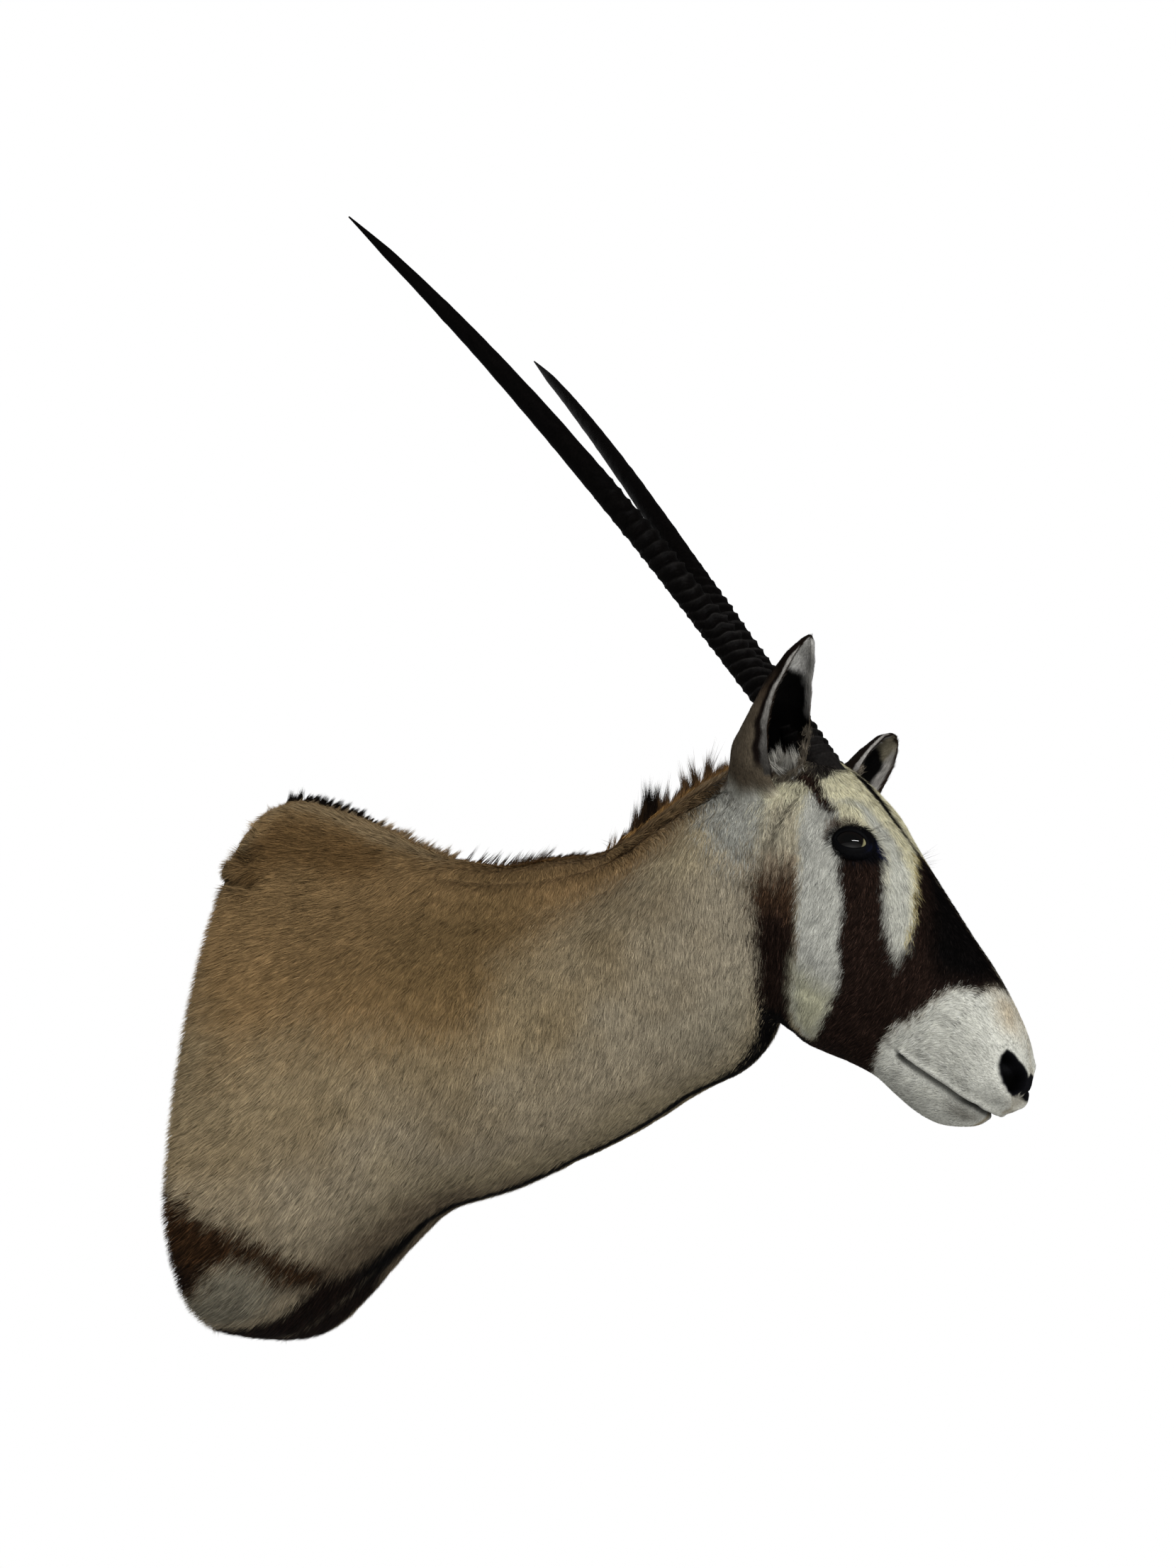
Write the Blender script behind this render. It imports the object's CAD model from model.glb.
"""The looks of a gemsbok shoulder mount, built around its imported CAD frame.

The hide, ears and horns are drawn again at full detail from the same curves as the frame's solids,
as (side, reach, height) in the animal's own plane of symmetry, and then turned as the neck turns.
A place on the hide is (place, fold): place counts cross-sections from the wall (0) to the lips
(25), and fold is the angle up from the middle of the flank, from -90 (throat) to 90 (crest).
"""
import math

import bpy
import numpy as np
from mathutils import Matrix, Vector


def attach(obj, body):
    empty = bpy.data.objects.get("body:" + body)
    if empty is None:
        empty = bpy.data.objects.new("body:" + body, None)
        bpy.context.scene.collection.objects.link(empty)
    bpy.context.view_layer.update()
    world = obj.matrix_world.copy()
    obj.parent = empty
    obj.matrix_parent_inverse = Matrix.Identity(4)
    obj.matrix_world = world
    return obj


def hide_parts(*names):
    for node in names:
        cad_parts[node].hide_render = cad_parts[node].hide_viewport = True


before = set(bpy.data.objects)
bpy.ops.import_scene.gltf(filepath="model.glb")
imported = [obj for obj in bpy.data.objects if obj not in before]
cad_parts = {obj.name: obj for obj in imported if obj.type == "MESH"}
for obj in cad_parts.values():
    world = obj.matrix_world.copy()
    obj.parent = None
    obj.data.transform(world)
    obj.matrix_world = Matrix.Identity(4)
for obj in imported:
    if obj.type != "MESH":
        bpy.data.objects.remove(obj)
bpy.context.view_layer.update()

RANDOM = np.random.default_rng(20)
QUICK = 1.0        # the share of the hair that is made

# ---------------------------------------------------------------- the frame's curves

HEAD_TURN = math.radians(10)               # to the animal's right
TURN_REACH = 0.348                         # of the upright axis it turns about
TURN_START, TURN_END = 0.24, 0.50          # the reaches between which the neck takes up the turn

# Per row: top point and bottom point as (reach, height), half widths high, middle and low, and how
# square the upper and lower halves are.
HIDE_SECTIONS = [
    ((0.003, 0.250), (0.003, -0.252), (0.130, 0.166, 0.196), 2.0, 3.2),
    ((0.012, 0.263), (0.010, -0.263), (0.140, 0.178, 0.208), 2.0, 3.2),
    ((0.045, 0.271), (0.055, -0.258), (0.135, 0.176, 0.202), 2.0, 2.8),
    ((0.090, 0.258), (0.100, -0.230), (0.124, 0.165, 0.184), 1.9, 2.3),
    ((0.140, 0.236), (0.149, -0.187), (0.111, 0.150, 0.158), 1.8, 2.1),
    ((0.192, 0.209), (0.203, -0.147), (0.099, 0.134, 0.132), 1.8, 2.0),
    ((0.250, 0.193), (0.270, -0.129), (0.088, 0.118, 0.112), 1.8, 2.0),
    ((0.312, 0.194), (0.330, -0.106), (0.080, 0.106, 0.098), 1.8, 2.0),
    ((0.375, 0.200), (0.395, -0.080), (0.074, 0.097, 0.088), 1.8, 2.0),
    ((0.432, 0.229), (0.455, -0.050), (0.070, 0.091, 0.080), 1.9, 2.0),
    ((0.480, 0.252), (0.503, -0.033), (0.069, 0.086, 0.071), 2.0, 2.0),
    ((0.520, 0.264), (0.530, -0.013), (0.070, 0.081, 0.064), 2.2, 2.0),
    ((0.560, 0.271), (0.542, 0.012), (0.070, 0.077, 0.060), 2.3, 2.0),
    ((0.597, 0.263), (0.560, 0.004), (0.072, 0.074, 0.058), 2.6, 2.1),
    ((0.628, 0.244), (0.576, -0.009), (0.074, 0.070, 0.056), 3.0, 2.2),
    ((0.652, 0.216), (0.596, -0.019), (0.072, 0.066, 0.053), 3.1, 2.3),
    ((0.674, 0.183), (0.618, -0.029), (0.062, 0.060, 0.049), 2.9, 2.3),
    ((0.695, 0.149), (0.642, -0.043), (0.052, 0.054, 0.043), 2.6, 2.3),
    ((0.716, 0.114), (0.661, -0.061), (0.044, 0.049, 0.038), 2.3, 2.3),
    ((0.737, 0.078), (0.679, -0.077), (0.039, 0.044, 0.034), 2.3, 2.3),
    ((0.757, 0.045), (0.698, -0.088), (0.037, 0.041, 0.032), 2.3, 2.3),
    ((0.773, 0.012), (0.716, -0.092), (0.036, 0.040, 0.031), 2.4, 2.3),
    ((0.783, -0.016), (0.734, -0.092), (0.035, 0.038, 0.028), 2.4, 2.2),
    ((0.786, -0.039), (0.749, -0.085), (0.032, 0.034, 0.024), 2.3, 2.2),
    ((0.782, -0.056), (0.761, -0.081), (0.026, 0.027, 0.018), 2.2, 2.1),
    ((0.776, -0.067), (0.769, -0.075), (0.015, 0.015, 0.010), 2.0, 2.0),
]

# Forms that stand out on both sides: middle, radius, rise.
FORMS = {
    "brow": ((0.064, 0.650, 0.184), 0.020, 0.009),
    "rear of the eye": ((0.070, 0.622, 0.156), 0.016, 0.004),
    "below the eye": ((0.062, 0.658, 0.128), 0.018, 0.004),
    "cheek": ((0.066, 0.592, 0.066), 0.040, 0.005),
    "jaw corner": ((0.058, 0.560, 0.040), 0.022, 0.004),
    "behind the jaw": ((0.072, 0.530, 0.070), 0.024, -0.005),
    "below the ear": ((0.074, 0.492, 0.196), 0.032, 0.007),
    "nostril": ((0.034, 0.768, -0.024), 0.014, 0.004),
    "upper lip": ((0.034, 0.744, -0.060), 0.018, 0.003),
}

FLANK_HEIGHT = 0.6                         # where the high and low widths are, as a share of rise
SECTIONS = np.array([[*top, *bottom, *widths, upper, lower]
                     for top, bottom, widths, upper, lower in HIDE_SECTIONS])
LAST = len(SECTIONS) - 1

EYE_RADIUS = 0.0175
EYE_MIDDLE = np.array((0.0580, 0.647, 0.160))
EYE_OUTWARD = (0.93, 0.34, 0.00)
EYE_FORWARD = (0.10, 0.95, -0.20)
EYE_REACH = (0.0225, 0.0162, 0.0155)       # of the lids on the skin: ahead, behind, above and below

# The right horn's line as a Bezier curve, its radius at parts of it, and how the left one differs.
HORN_CURVE = np.array([(0.027, 0.6145, 0.2352), (0.034, 0.467, 0.447), (0.084, 0.331, 0.661),
                       (0.194, 0.177, 0.837)])
HORN_RADII = [(0.00, 0.0160), (0.20, 0.0150), (0.35, 0.0136), (0.50, 0.0127), (0.65, 0.0111),
              (0.80, 0.0086), (0.93, 0.0053), (1.00, 0.0008)]
LEFT_SHIFT = np.array([(0, -0.008, -0.001), (0, 0, 0), (0, 0.005, 0), (0, -0.002, 0)])
LEFT_SIZES = [(0, 0.95), (0.3, 0.92), (0.45, 0.85), (0.8, 0.86), (1, 1)]

# The ears, by side (-1 right, 1 left): root, tip and the way that the hollow looks.
EAR_LINES = {-1: ((0.050, 0.557, 0.230), (0.105, 0.632, 0.346), (0.50, 0.80, -0.30)),
             1: ((0.061, 0.576, 0.207), (0.150, 0.617, 0.315), (0.05, 0.90, -0.40))}
EAR_BOW = np.array((0.003, -0.001, 0.003))
EAR_JOIN = 0.16                            # below this part the back widens to the head
EAR_FOOT = -0.40                           # the part at which it meets the head
EAR_RADII = {-1: [(0.00, 0.034), (0.20, 0.033), (0.45, 0.030), (0.65, 0.026), (0.85, 0.016),
                  (0.96, 0.007), (1.00, 0.002)],
             1: [(0.00, 0.033), (0.20, 0.032), (0.45, 0.030), (0.65, 0.027), (0.85, 0.0205),
                 (0.95, 0.0130), (1.00, 0.0040)]}
# How far the front and rear margins are wrapped round, in degrees from the ear's back.
EAR_WRAP = {-1: ([(0.0, 172), (0.12, 160), (0.25, 142), (0.45, 126), (0.7, 116), (1.0, 110)],
                 [(0.0, 172), (0.12, 164), (0.25, 144), (0.4, 128), (0.6, 118), (0.8, 118),
                  (1.0, 114)]),
            1: ([(0.0, 140), (0.3, 103), (0.6, 88), (0.85, 84), (1.0, 84)],
                [(0.0, 150), (0.3, 122), (0.6, 112), (1.0, 106)])}
# How deep the back is against the radius, and how wide the near ear's front half is.
EAR_DEPTH = [(0.0, 1.35), (0.15, 1.35), (0.30, 1.18), (0.40, 0.95), (0.50, 0.74), (0.70, 0.74),
             (0.85, 0.85)]
EAR_FRONT = [(0.35, 1.0), (0.5, 0.86), (0.7, 0.68), (0.9, 0.75), (1.0, 1.0)]

# ---------------------------------------------------------------- small helpers


def smoothstep(value):
    """0 below 0 and 1 above 1, with a smooth rise between them."""
    part = np.clip(value, 0.0, 1.0)
    return part * part * (3 - 2 * part)


def bell(value):
    return np.exp(-value ** 2)


def between(table, place):
    """A table of (place, value) read between its rows."""
    places, values = zip(*table)
    return np.interp(place, places, values)


def unit(vectors):
    return vectors / np.maximum(np.linalg.norm(vectors, axis=-1, keepdims=True), 1e-12)


CELLS = 32
LATTICE = np.random.default_rng(7).random((CELLS, CELLS, CELLS))


def noise(points, cell, seed=0):
    """Smooth value noise from -1 to 1, with lumps about one cell (metres) across."""
    spot = np.asarray(points) / cell + seed * 7.31
    low = np.floor(spot).astype(int)
    part = smoothstep(spot - low)
    total = 0.0
    for corner in np.ndindex(2, 2, 2):
        weight = np.prod(np.where(corner, part, 1 - part), axis=-1)
        at = (low + corner) % CELLS
        total = total + weight * LATTICE[at[..., 0], at[..., 1], at[..., 2]]
    return 2 * total - 1


def tangent(ways, normals):
    """Ways without their part along the normals."""
    return ways - (ways * normals).sum(axis=-1, keepdims=True) * normals


def mixed(first, second, share):
    """The first colours with a share of the second in them."""
    share = np.asarray(share)[..., None]
    return first * (1 - share) + np.asarray(second) * share


def scaled(colour, factor):
    return colour * np.asarray(factor)[..., None]


def sided(side):
    """What turns a point of the left half into one of the side's half: (side, 1, 1)."""
    return np.stack([side, np.ones_like(side), np.ones_like(side)], axis=-1)


def mirrored_of(local):
    """Points of both halves as points of the left one."""
    return local * (0, 1, 1) + np.abs(local) * (1, 0, 0)


# ---------------------------------------------------------------- the hide's surface


def section_values(place):
    """The section table read between its rows (Catmull-Rom)."""
    place = np.asarray(place, float)
    row = np.clip(place.astype(int), 0, LAST - 1)
    part = (place - row)[..., None]
    padded = np.vstack([2 * SECTIONS[0] - SECTIONS[1], SECTIONS,
                        2 * SECTIONS[-1] - SECTIONS[-2]])
    before, here, there, after = (padded[row + step] for step in range(4))
    return (here + 0.5 * part * (there - before
            + part * (2 * before - 5 * here + 4 * there - after
            + part * (3 * (here - there) + after - before))))


def hide_points(places, angles):
    """The hide's own (side, reach, height) at rows of places and columns of angles."""
    values = section_values(places)[:, None, :]
    angles = np.asarray(angles)[None, :]
    top, bottom = values[..., 0:2], values[..., 2:4]
    high, middle, low = values[..., 4], values[..., 5], values[..., 6]
    sine, cosine = np.sin(angles), np.cos(angles)
    power = 2 / np.where(sine >= 0, values[..., 7], values[..., 8])
    rise = np.sign(sine) * np.abs(sine) ** power
    flank = np.clip(rise / FLANK_HEIGHT, -1, 1)
    width = middle + (high - low) / 2 * flank + ((high + low) / 2 - middle) * flank ** 2
    side = -np.sign(cosine) * np.abs(cosine) ** power * width
    point = (top + bottom) / 2 + (top - bottom) / 2 * rise[..., None]
    ring = np.concatenate([side[..., None], point], axis=-1)
    outward = unit(ring - ring.mean(axis=1, keepdims=True))
    mirrored = mirrored_of(ring)
    out = ring.copy()
    for middle, radius, rise in FORMS.values():
        away = np.linalg.norm(mirrored - middle, axis=-1)
        out += scaled(outward, rise * bell(away / radius))
    return out


def placed(points, turn=HEAD_TURN):
    """World places of (side, reach, height) points, turned about the head's axis."""
    ahead = points[..., 1] - TURN_REACH
    x = points[..., 0] * np.cos(turn) - ahead * np.sin(turn)
    reach = TURN_REACH + points[..., 0] * np.sin(turn) + ahead * np.cos(turn)
    return np.stack([x, -reach, points[..., 2]], axis=-1)


def placed_way(ways):
    """The same for directions."""
    axis = np.array((0, TURN_REACH, 0))
    return placed(ways + axis) + axis


def section_turn(places):
    """How far the neck has turned at places."""
    values = section_values(places)
    reach = (values[..., 0] + values[..., 2]) / 2
    return HEAD_TURN * smoothstep((reach - TURN_START) / (TURN_END - TURN_START))


# The chart: a flat map of one flank in metres, for outlines and creases given as (place, fold).
CENTRES = (SECTIONS[:, 0:2] + SECTIONS[:, 2:4]) / 2
ALONG = np.r_[0, np.cumsum(np.linalg.norm(np.diff(CENTRES, axis=0), axis=1))]
GIRTH = (np.linalg.norm(SECTIONS[:, 0:2] - SECTIONS[:, 2:4], axis=1) / 2 + SECTIONS[:, 5]) / 2


def chart(place, fold):
    """Where places and folds are on the chart."""
    rows = np.arange(LAST + 1)
    return np.stack([np.interp(place, rows, ALONG),
                     np.radians(fold) * np.interp(place, rows, GIRTH)], axis=-1)


FAR_OFF = 9.0                              # farther than anything on the mount


def segment_distance(points, first, edge):
    """Distance from points to the edge that starts at first, and how far along it they are."""
    part = np.clip(((points - first) @ edge) / (edge @ edge), 0, 1)
    return np.linalg.norm(points - first - part[..., None] * edge, axis=-1), part


def outline_distance(fine, spots, closed):
    """Distance from flat spots to a line; of a closed one, plus inside it and minus outside."""
    nearest = np.full(spots.shape[:-1], FAR_OFF)
    inside = np.zeros(spots.shape[:-1], bool)
    for first, second in zip(fine[:-1], fine[1:]):
        edge = second - first
        nearest = np.minimum(nearest, segment_distance(spots, first, edge)[0])
        over = (first[1] > spots[..., 1]) != (second[1] > spots[..., 1])
        rise = edge[1] if abs(edge[1]) > 1e-9 else 1e-9
        inside ^= over & (spots[..., 0] < first[0] + (spots[..., 1] - first[1]) * edge[0] / rise)
    return np.where(inside, nearest, -nearest) if closed else nearest


def line_distance(line, spots, closed=False):
    """Outline distance on the chart from a line of (place, fold) points."""
    line = np.array(line + line[:1] if closed else line, float)
    steps = np.linspace(0, len(line) - 1, 4 * (len(line) - 1) + 1)
    fine = chart(*(np.interp(steps, np.arange(len(line)), column) for column in line.T))
    return outline_distance(fine, spots, closed)


def space_distance(line, points):
    """Distance from points to a line in space, and how far along it (0 to 1) they are."""
    nearest = np.full(points.shape[:-1], FAR_OFF)
    where = np.zeros(points.shape[:-1])
    steps = len(line) - 1
    for number in range(steps):
        away, part = segment_distance(points, line[number], line[number + 1] - line[number])
        where = np.where(away < nearest, (number + part) / steps, where)
        nearest = np.minimum(nearest, away)
    return nearest, where


OUTWARD = unit(np.array(EYE_OUTWARD))
FORWARD = unit(tangent(np.array(EYE_FORWARD), OUTWARD))
UPWARD = np.cross(OUTWARD, FORWARD)


def eye_offsets(mirrored):
    """How far points of the mirrored head are ahead of and above the eye's middle."""
    away = mirrored - EYE_MIDDLE
    return away @ FORWARD, away @ UPWARD


def eye_ring(mirrored):
    """Distance from the eye: 1 on the outer edge of the lids, far off on the head's other half."""
    ahead, above = eye_offsets(mirrored)
    front, rear, tall = EYE_REACH
    ring = np.hypot(ahead / np.where(ahead > 0, front, rear), above / tall)
    return np.where((mirrored - EYE_MIDDLE) @ OUTWARD > -0.02, ring, FAR_OFF)


MOUTH = np.array([(0.0325, 0.6730, -0.0285), (0.0322, 0.6771, -0.0326), (0.0315, 0.6893, -0.0427),
                  (0.0305, 0.7063, -0.0552), (0.0300, 0.7180, -0.0632), (0.0290, 0.7275, -0.0704),
                  (0.0240, 0.7409, -0.0788), (0.0120, 0.7480, -0.0830), (0.0000, 0.7500, -0.0845)])
# The nostril's outline as (side, height), seen from the front.
NOSTRIL = np.array([(0.0267, -0.0358), (0.0311, -0.0325), (0.0348, -0.0375), (0.0362, -0.0454),
                    (0.0357, -0.0534), (0.0332, -0.0606), (0.0272, -0.0668), (0.0180, -0.0694),
                    (0.0090, -0.0690), (0.0055, -0.0640), (0.0055, -0.0555), (0.0085, -0.0500),
                    (0.0150, -0.0455), (0.0223, -0.0413)])
NOSTRIL_WAY = np.array((-0.55, -0.80, 0.10))
NOSTRIL_DEPTH = 0.014
NOSTRIL_START = 0.74                       # the least reach of skin that the outline cuts
SEPTUM = np.array((0.0, 0.7830, -0.0590))  # bare dark skin between the nostrils
EYE_DEPTH = 0.012                          # how far the skin is pushed in behind the ball

# Creases in the skin: a line of (place, fold), how deep, how wide.
CREASES = [
    ([(13.25, 34), (13.03, 26), (12.85, 20), (12.72, 14)], 0.0025, 0.004),
    ([(10.7, 26), (10.92, 20), (11.42, 8), (11.95, 2), (12.42, 3), (12.6, 12)], 0.0014, 0.005),
    ([(8.2, 60), (8.6, 57), (9.2, 56), (9.9, 52), (10.5, 49), (10.9, 50)], 0.0045, 0.007),
    ([(5.55, 62), (6.27, 61), (6.98, 58), (7.67, 60), (8.2, 60)], 0.0020, 0.008),
    ([(12.63, 20), (12.83, 8), (12.80, -2)], 0.0012, 0.0025),
    ([(12.90, 20), (13.10, 9), (13.15, -2)], 0.0012, 0.0025),
    ([(13.15, 22), (13.42, 10), (13.45, -2)], 0.0010, 0.0025),
    ([(0.5, 41), (0.9, 41), (1.3, 39), (1.9, 37)], 0.007, 0.007),
    ([(1.0, 55), (1.5, 50), (1.7, 45)], 0.003, 0.008),
    ([(18.02, -34), (18.27, -32), (18.52, -31.2)], 0.0010, 0.0020),
    ([(18.47, -19.2), (18.65, -14), (18.95, -12.4)], 0.0004, 0.0012),
    ([(19.35, 6.4), (19.65, 6.8), (19.95, 7.2)], 0.0004, 0.0012),
    ([(19.10, -3.2), (19.35, -5.6)], 0.0003, 0.0011),
    ([(21.66, 22.8), (21.90, 22.8)], 0.0004, 0.0011),
]
# Low rises and hollows: middle in space, radius, rise.
BUMPS = [(SEPTUM, 0.013, 0.0030), ((0.012, 0.770, -0.074), 0.014, 0.0040),
         ((0.080, 0.018, 0.221), 0.024, -0.0085), ((0.062, 0.024, 0.242), 0.022, -0.0115),
         ((0.097, 0.008, 0.181), 0.012, 0.0045)]
# How far the skin lies below the form, so that the hair's tips reach it.
FUR_DEPTH = [(0, 0.0030), (11, 0.0026), (13, 0.0016), (16, 0.0010), (25, 0.0006)]


def sidedness(angles):
    """Fold in degrees and side (-1 right, 1 left) of angles round a section."""
    degrees = np.degrees(angles)
    fold = np.where(degrees <= 90, degrees, np.where(degrees <= 270, 180 - degrees, degrees - 360))
    return fold, np.where(np.cos(angles) >= 0, -1.0, 1.0)


def grid_normals(points, wrapped):
    """Normals of a grid that runs round a body, pointing away from its middle line."""
    down = np.gradient(points, axis=0)
    if wrapped:
        across = np.roll(points, -1, axis=1) - np.roll(points, 1, axis=1)
    else:
        across = np.gradient(points, axis=1)
    normals = unit(np.cross(across, down))
    outward = ((points - points.mean(axis=1, keepdims=True)) * normals).sum()
    return normals if outward > 0 else -normals


def nostril_depth(points):
    """How far inside the nostril's outline points of the mirrored head are (minus outside)."""
    deep = outline_distance(np.vstack([NOSTRIL, NOSTRIL[:1]]), points[..., [0, 2]], True)
    return np.where(points[..., 1] > NOSTRIL_START, deep, -FAR_OFF)


def relief(points, spots):
    """How far the skin stands out from the drawn form, in metres (minus is in)."""
    out = np.zeros(spots.shape[:-1])
    for line, deep, wide in CREASES:
        away = line_distance(line, spots)
        out -= deep * bell(away / wide)
        out += 0.45 * deep * bell((away - 1.9 * wide) / wide)
    away, where = space_distance(MOUTH, points)
    upper = points[..., 2] > np.interp(points[..., 1], MOUTH[:, 1], MOUTH[:, 2])
    fade = smoothstep(where / 0.06)
    upper_lip = np.where(upper, 0.0022, 0.0004) * bell((away - 0.0055) / 0.004)
    slit = 0.0075 * bell(away / 0.0023)
    lower_lip = np.where(upper, 0.0, 0.0018) * bell(away / 0.009)
    out += fade * (upper_lip - slit - lower_lip)
    out += 0.0013 * bell((nostril_depth(points) + 0.0028) / 0.0022)
    for middle, radius, rise in BUMPS:
        out += rise * bell(np.linalg.norm(points - middle, axis=-1) / radius)
    return out


def pockets(points):
    """How far the skin is pushed in at the nostrils and behind the eyes: two shares from 0 to 1."""
    nostril = smoothstep(nostril_depth(points) / 0.0050)
    eye = smoothstep((0.98 - eye_ring(points)) / 0.35)
    return nostril, eye


class Surface:
    """A grid of points with what hair on it has to know.

    Local holds the points before the head's turn; a wrapped grid's columns run round and close.
    """

    def __init__(self, points, place, fold, side, wrapped, local=None):
        self.points, self.wrapped = points, wrapped
        self.place, self.fold, self.side = place, fold, side
        self.local = points if local is None else local
        self.normals = grid_normals(points, wrapped)

    def row_at(self, place):
        """The number of the grid's row at a place."""
        return int(np.interp(place, self.place[:, 0], np.arange(len(self.place))))

    def faces(self, flip=False):
        rows, columns = self.points.shape[:2]
        index = np.arange(rows * columns).reshape(rows, columns)
        right = np.roll(index, -1, axis=1)
        quads = np.stack([index[:-1], right[:-1], right[1:], index[1:]], axis=-1)
        if not self.wrapped:
            quads = quads[:, :-1]
        quads = quads.reshape(-1, 4)
        return quads[:, ::-1] if flip else quads

    def scattered(self, count, density):
        """Random spots: point, normal, place, fold, side and local, one row each."""
        quads = self.faces()
        flat = self.points.reshape(-1, 3)
        corners = flat[quads]
        area = np.linalg.norm(np.cross(corners[:, 2] - corners[:, 0],
                                       corners[:, 3] - corners[:, 1]), axis=1)
        wanted = area * density.reshape(-1)[quads].mean(axis=1)
        chosen = quads[RANDOM.choice(len(quads), size=count, p=wanted / wanted.sum())]
        across, down = RANDOM.random((2, count, 1))
        weights = np.stack([(1 - across) * (1 - down), across * (1 - down), across * down,
                            (1 - across) * down], axis=1)

        def read(values):
            table = values.reshape(len(flat), -1)
            return (table[chosen] * weights).sum(axis=1)
        return {"point": read(self.points), "normal": unit(read(self.normals)),
                "local": read(self.local), "place": read(self.place)[:, 0],
                "fold": read(self.fold)[:, 0], "side": np.sign(read(self.side)[:, 0] + 1e-9)}


HIDE_COLUMNS = 288
HEAD_START = 12                            # the first row of the head, which is drawn finer
BODY_ROWS, HEAD_ROWS = 10, 16              # for each row of the table


def hide_surface():
    """The skin: the drawn form with its relief and pockets, a little below the hair's tips."""
    steps = [BODY_ROWS] * HEAD_START + [HEAD_ROWS] * (LAST - HEAD_START)
    places = np.concatenate([np.linspace(row, row + 1, count, endpoint=False)
                             for row, count in enumerate(steps)] + [[float(LAST)]])
    angles = np.arange(HIDE_COLUMNS) * 2 * math.pi / HIDE_COLUMNS
    local = hide_points(places, angles)
    fold, side = sidedness(angles)
    place = places[:, None] * np.ones(len(angles))
    fold, side = (row * np.ones((len(places), 1)) for row in (fold, side))
    spots = chart(place, fold)
    mirrored = mirrored_of(local)
    turn = section_turn(places)[:, None]
    normals = grid_normals(local, True)
    body = smoothstep((13.5 - place) / 2)
    rough = 0.0009 * noise(local, 0.045) * body
    rough += 0.0005 * noise(local, 0.013, 1) * body
    brow = bell(place - 15.2)
    rough += brow * (0.0030 * bell((fold - 70) / 10) - 0.0008 * smoothstep((fold - 83) / 6))
    out = relief(mirrored, spots) + rough - between(FUR_DEPTH, place)
    out *= smoothstep((LAST - place) / 0.6) * smoothstep(place / 0.4)
    pushed = local + normals * out[..., None]
    nostril, eye = pockets(mirrored)
    pushed = pushed + scaled(unit(NOSTRIL_WAY * sided(side)), NOSTRIL_DEPTH * nostril)
    pushed = pushed - scaled(normals, EYE_DEPTH * eye)
    made = Surface(placed(pushed, turn), place, fold, side, True, local)
    made.nostril, made.eye = nostril, eye
    return made


# ---------------------------------------------------------------- colours of the coat

WHITE = np.array((0.60, 0.60, 0.54))
CREAM = np.array((0.58, 0.54, 0.41))
PALE = np.array((0.42, 0.42, 0.375))
TAN = np.array((0.350, 0.270, 0.155))
GREY_TAN = np.array((0.385, 0.335, 0.245))
OCHRE = np.array((0.258, 0.146, 0.051))
UMBER = np.array((0.075, 0.042, 0.020))
BROWN = np.array((0.0146, 0.0082, 0.0060))
BLACK = np.array((0.0036, 0.0030, 0.0029))
SKIN_BLACK = np.array((0.006, 0.006, 0.0075))

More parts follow.
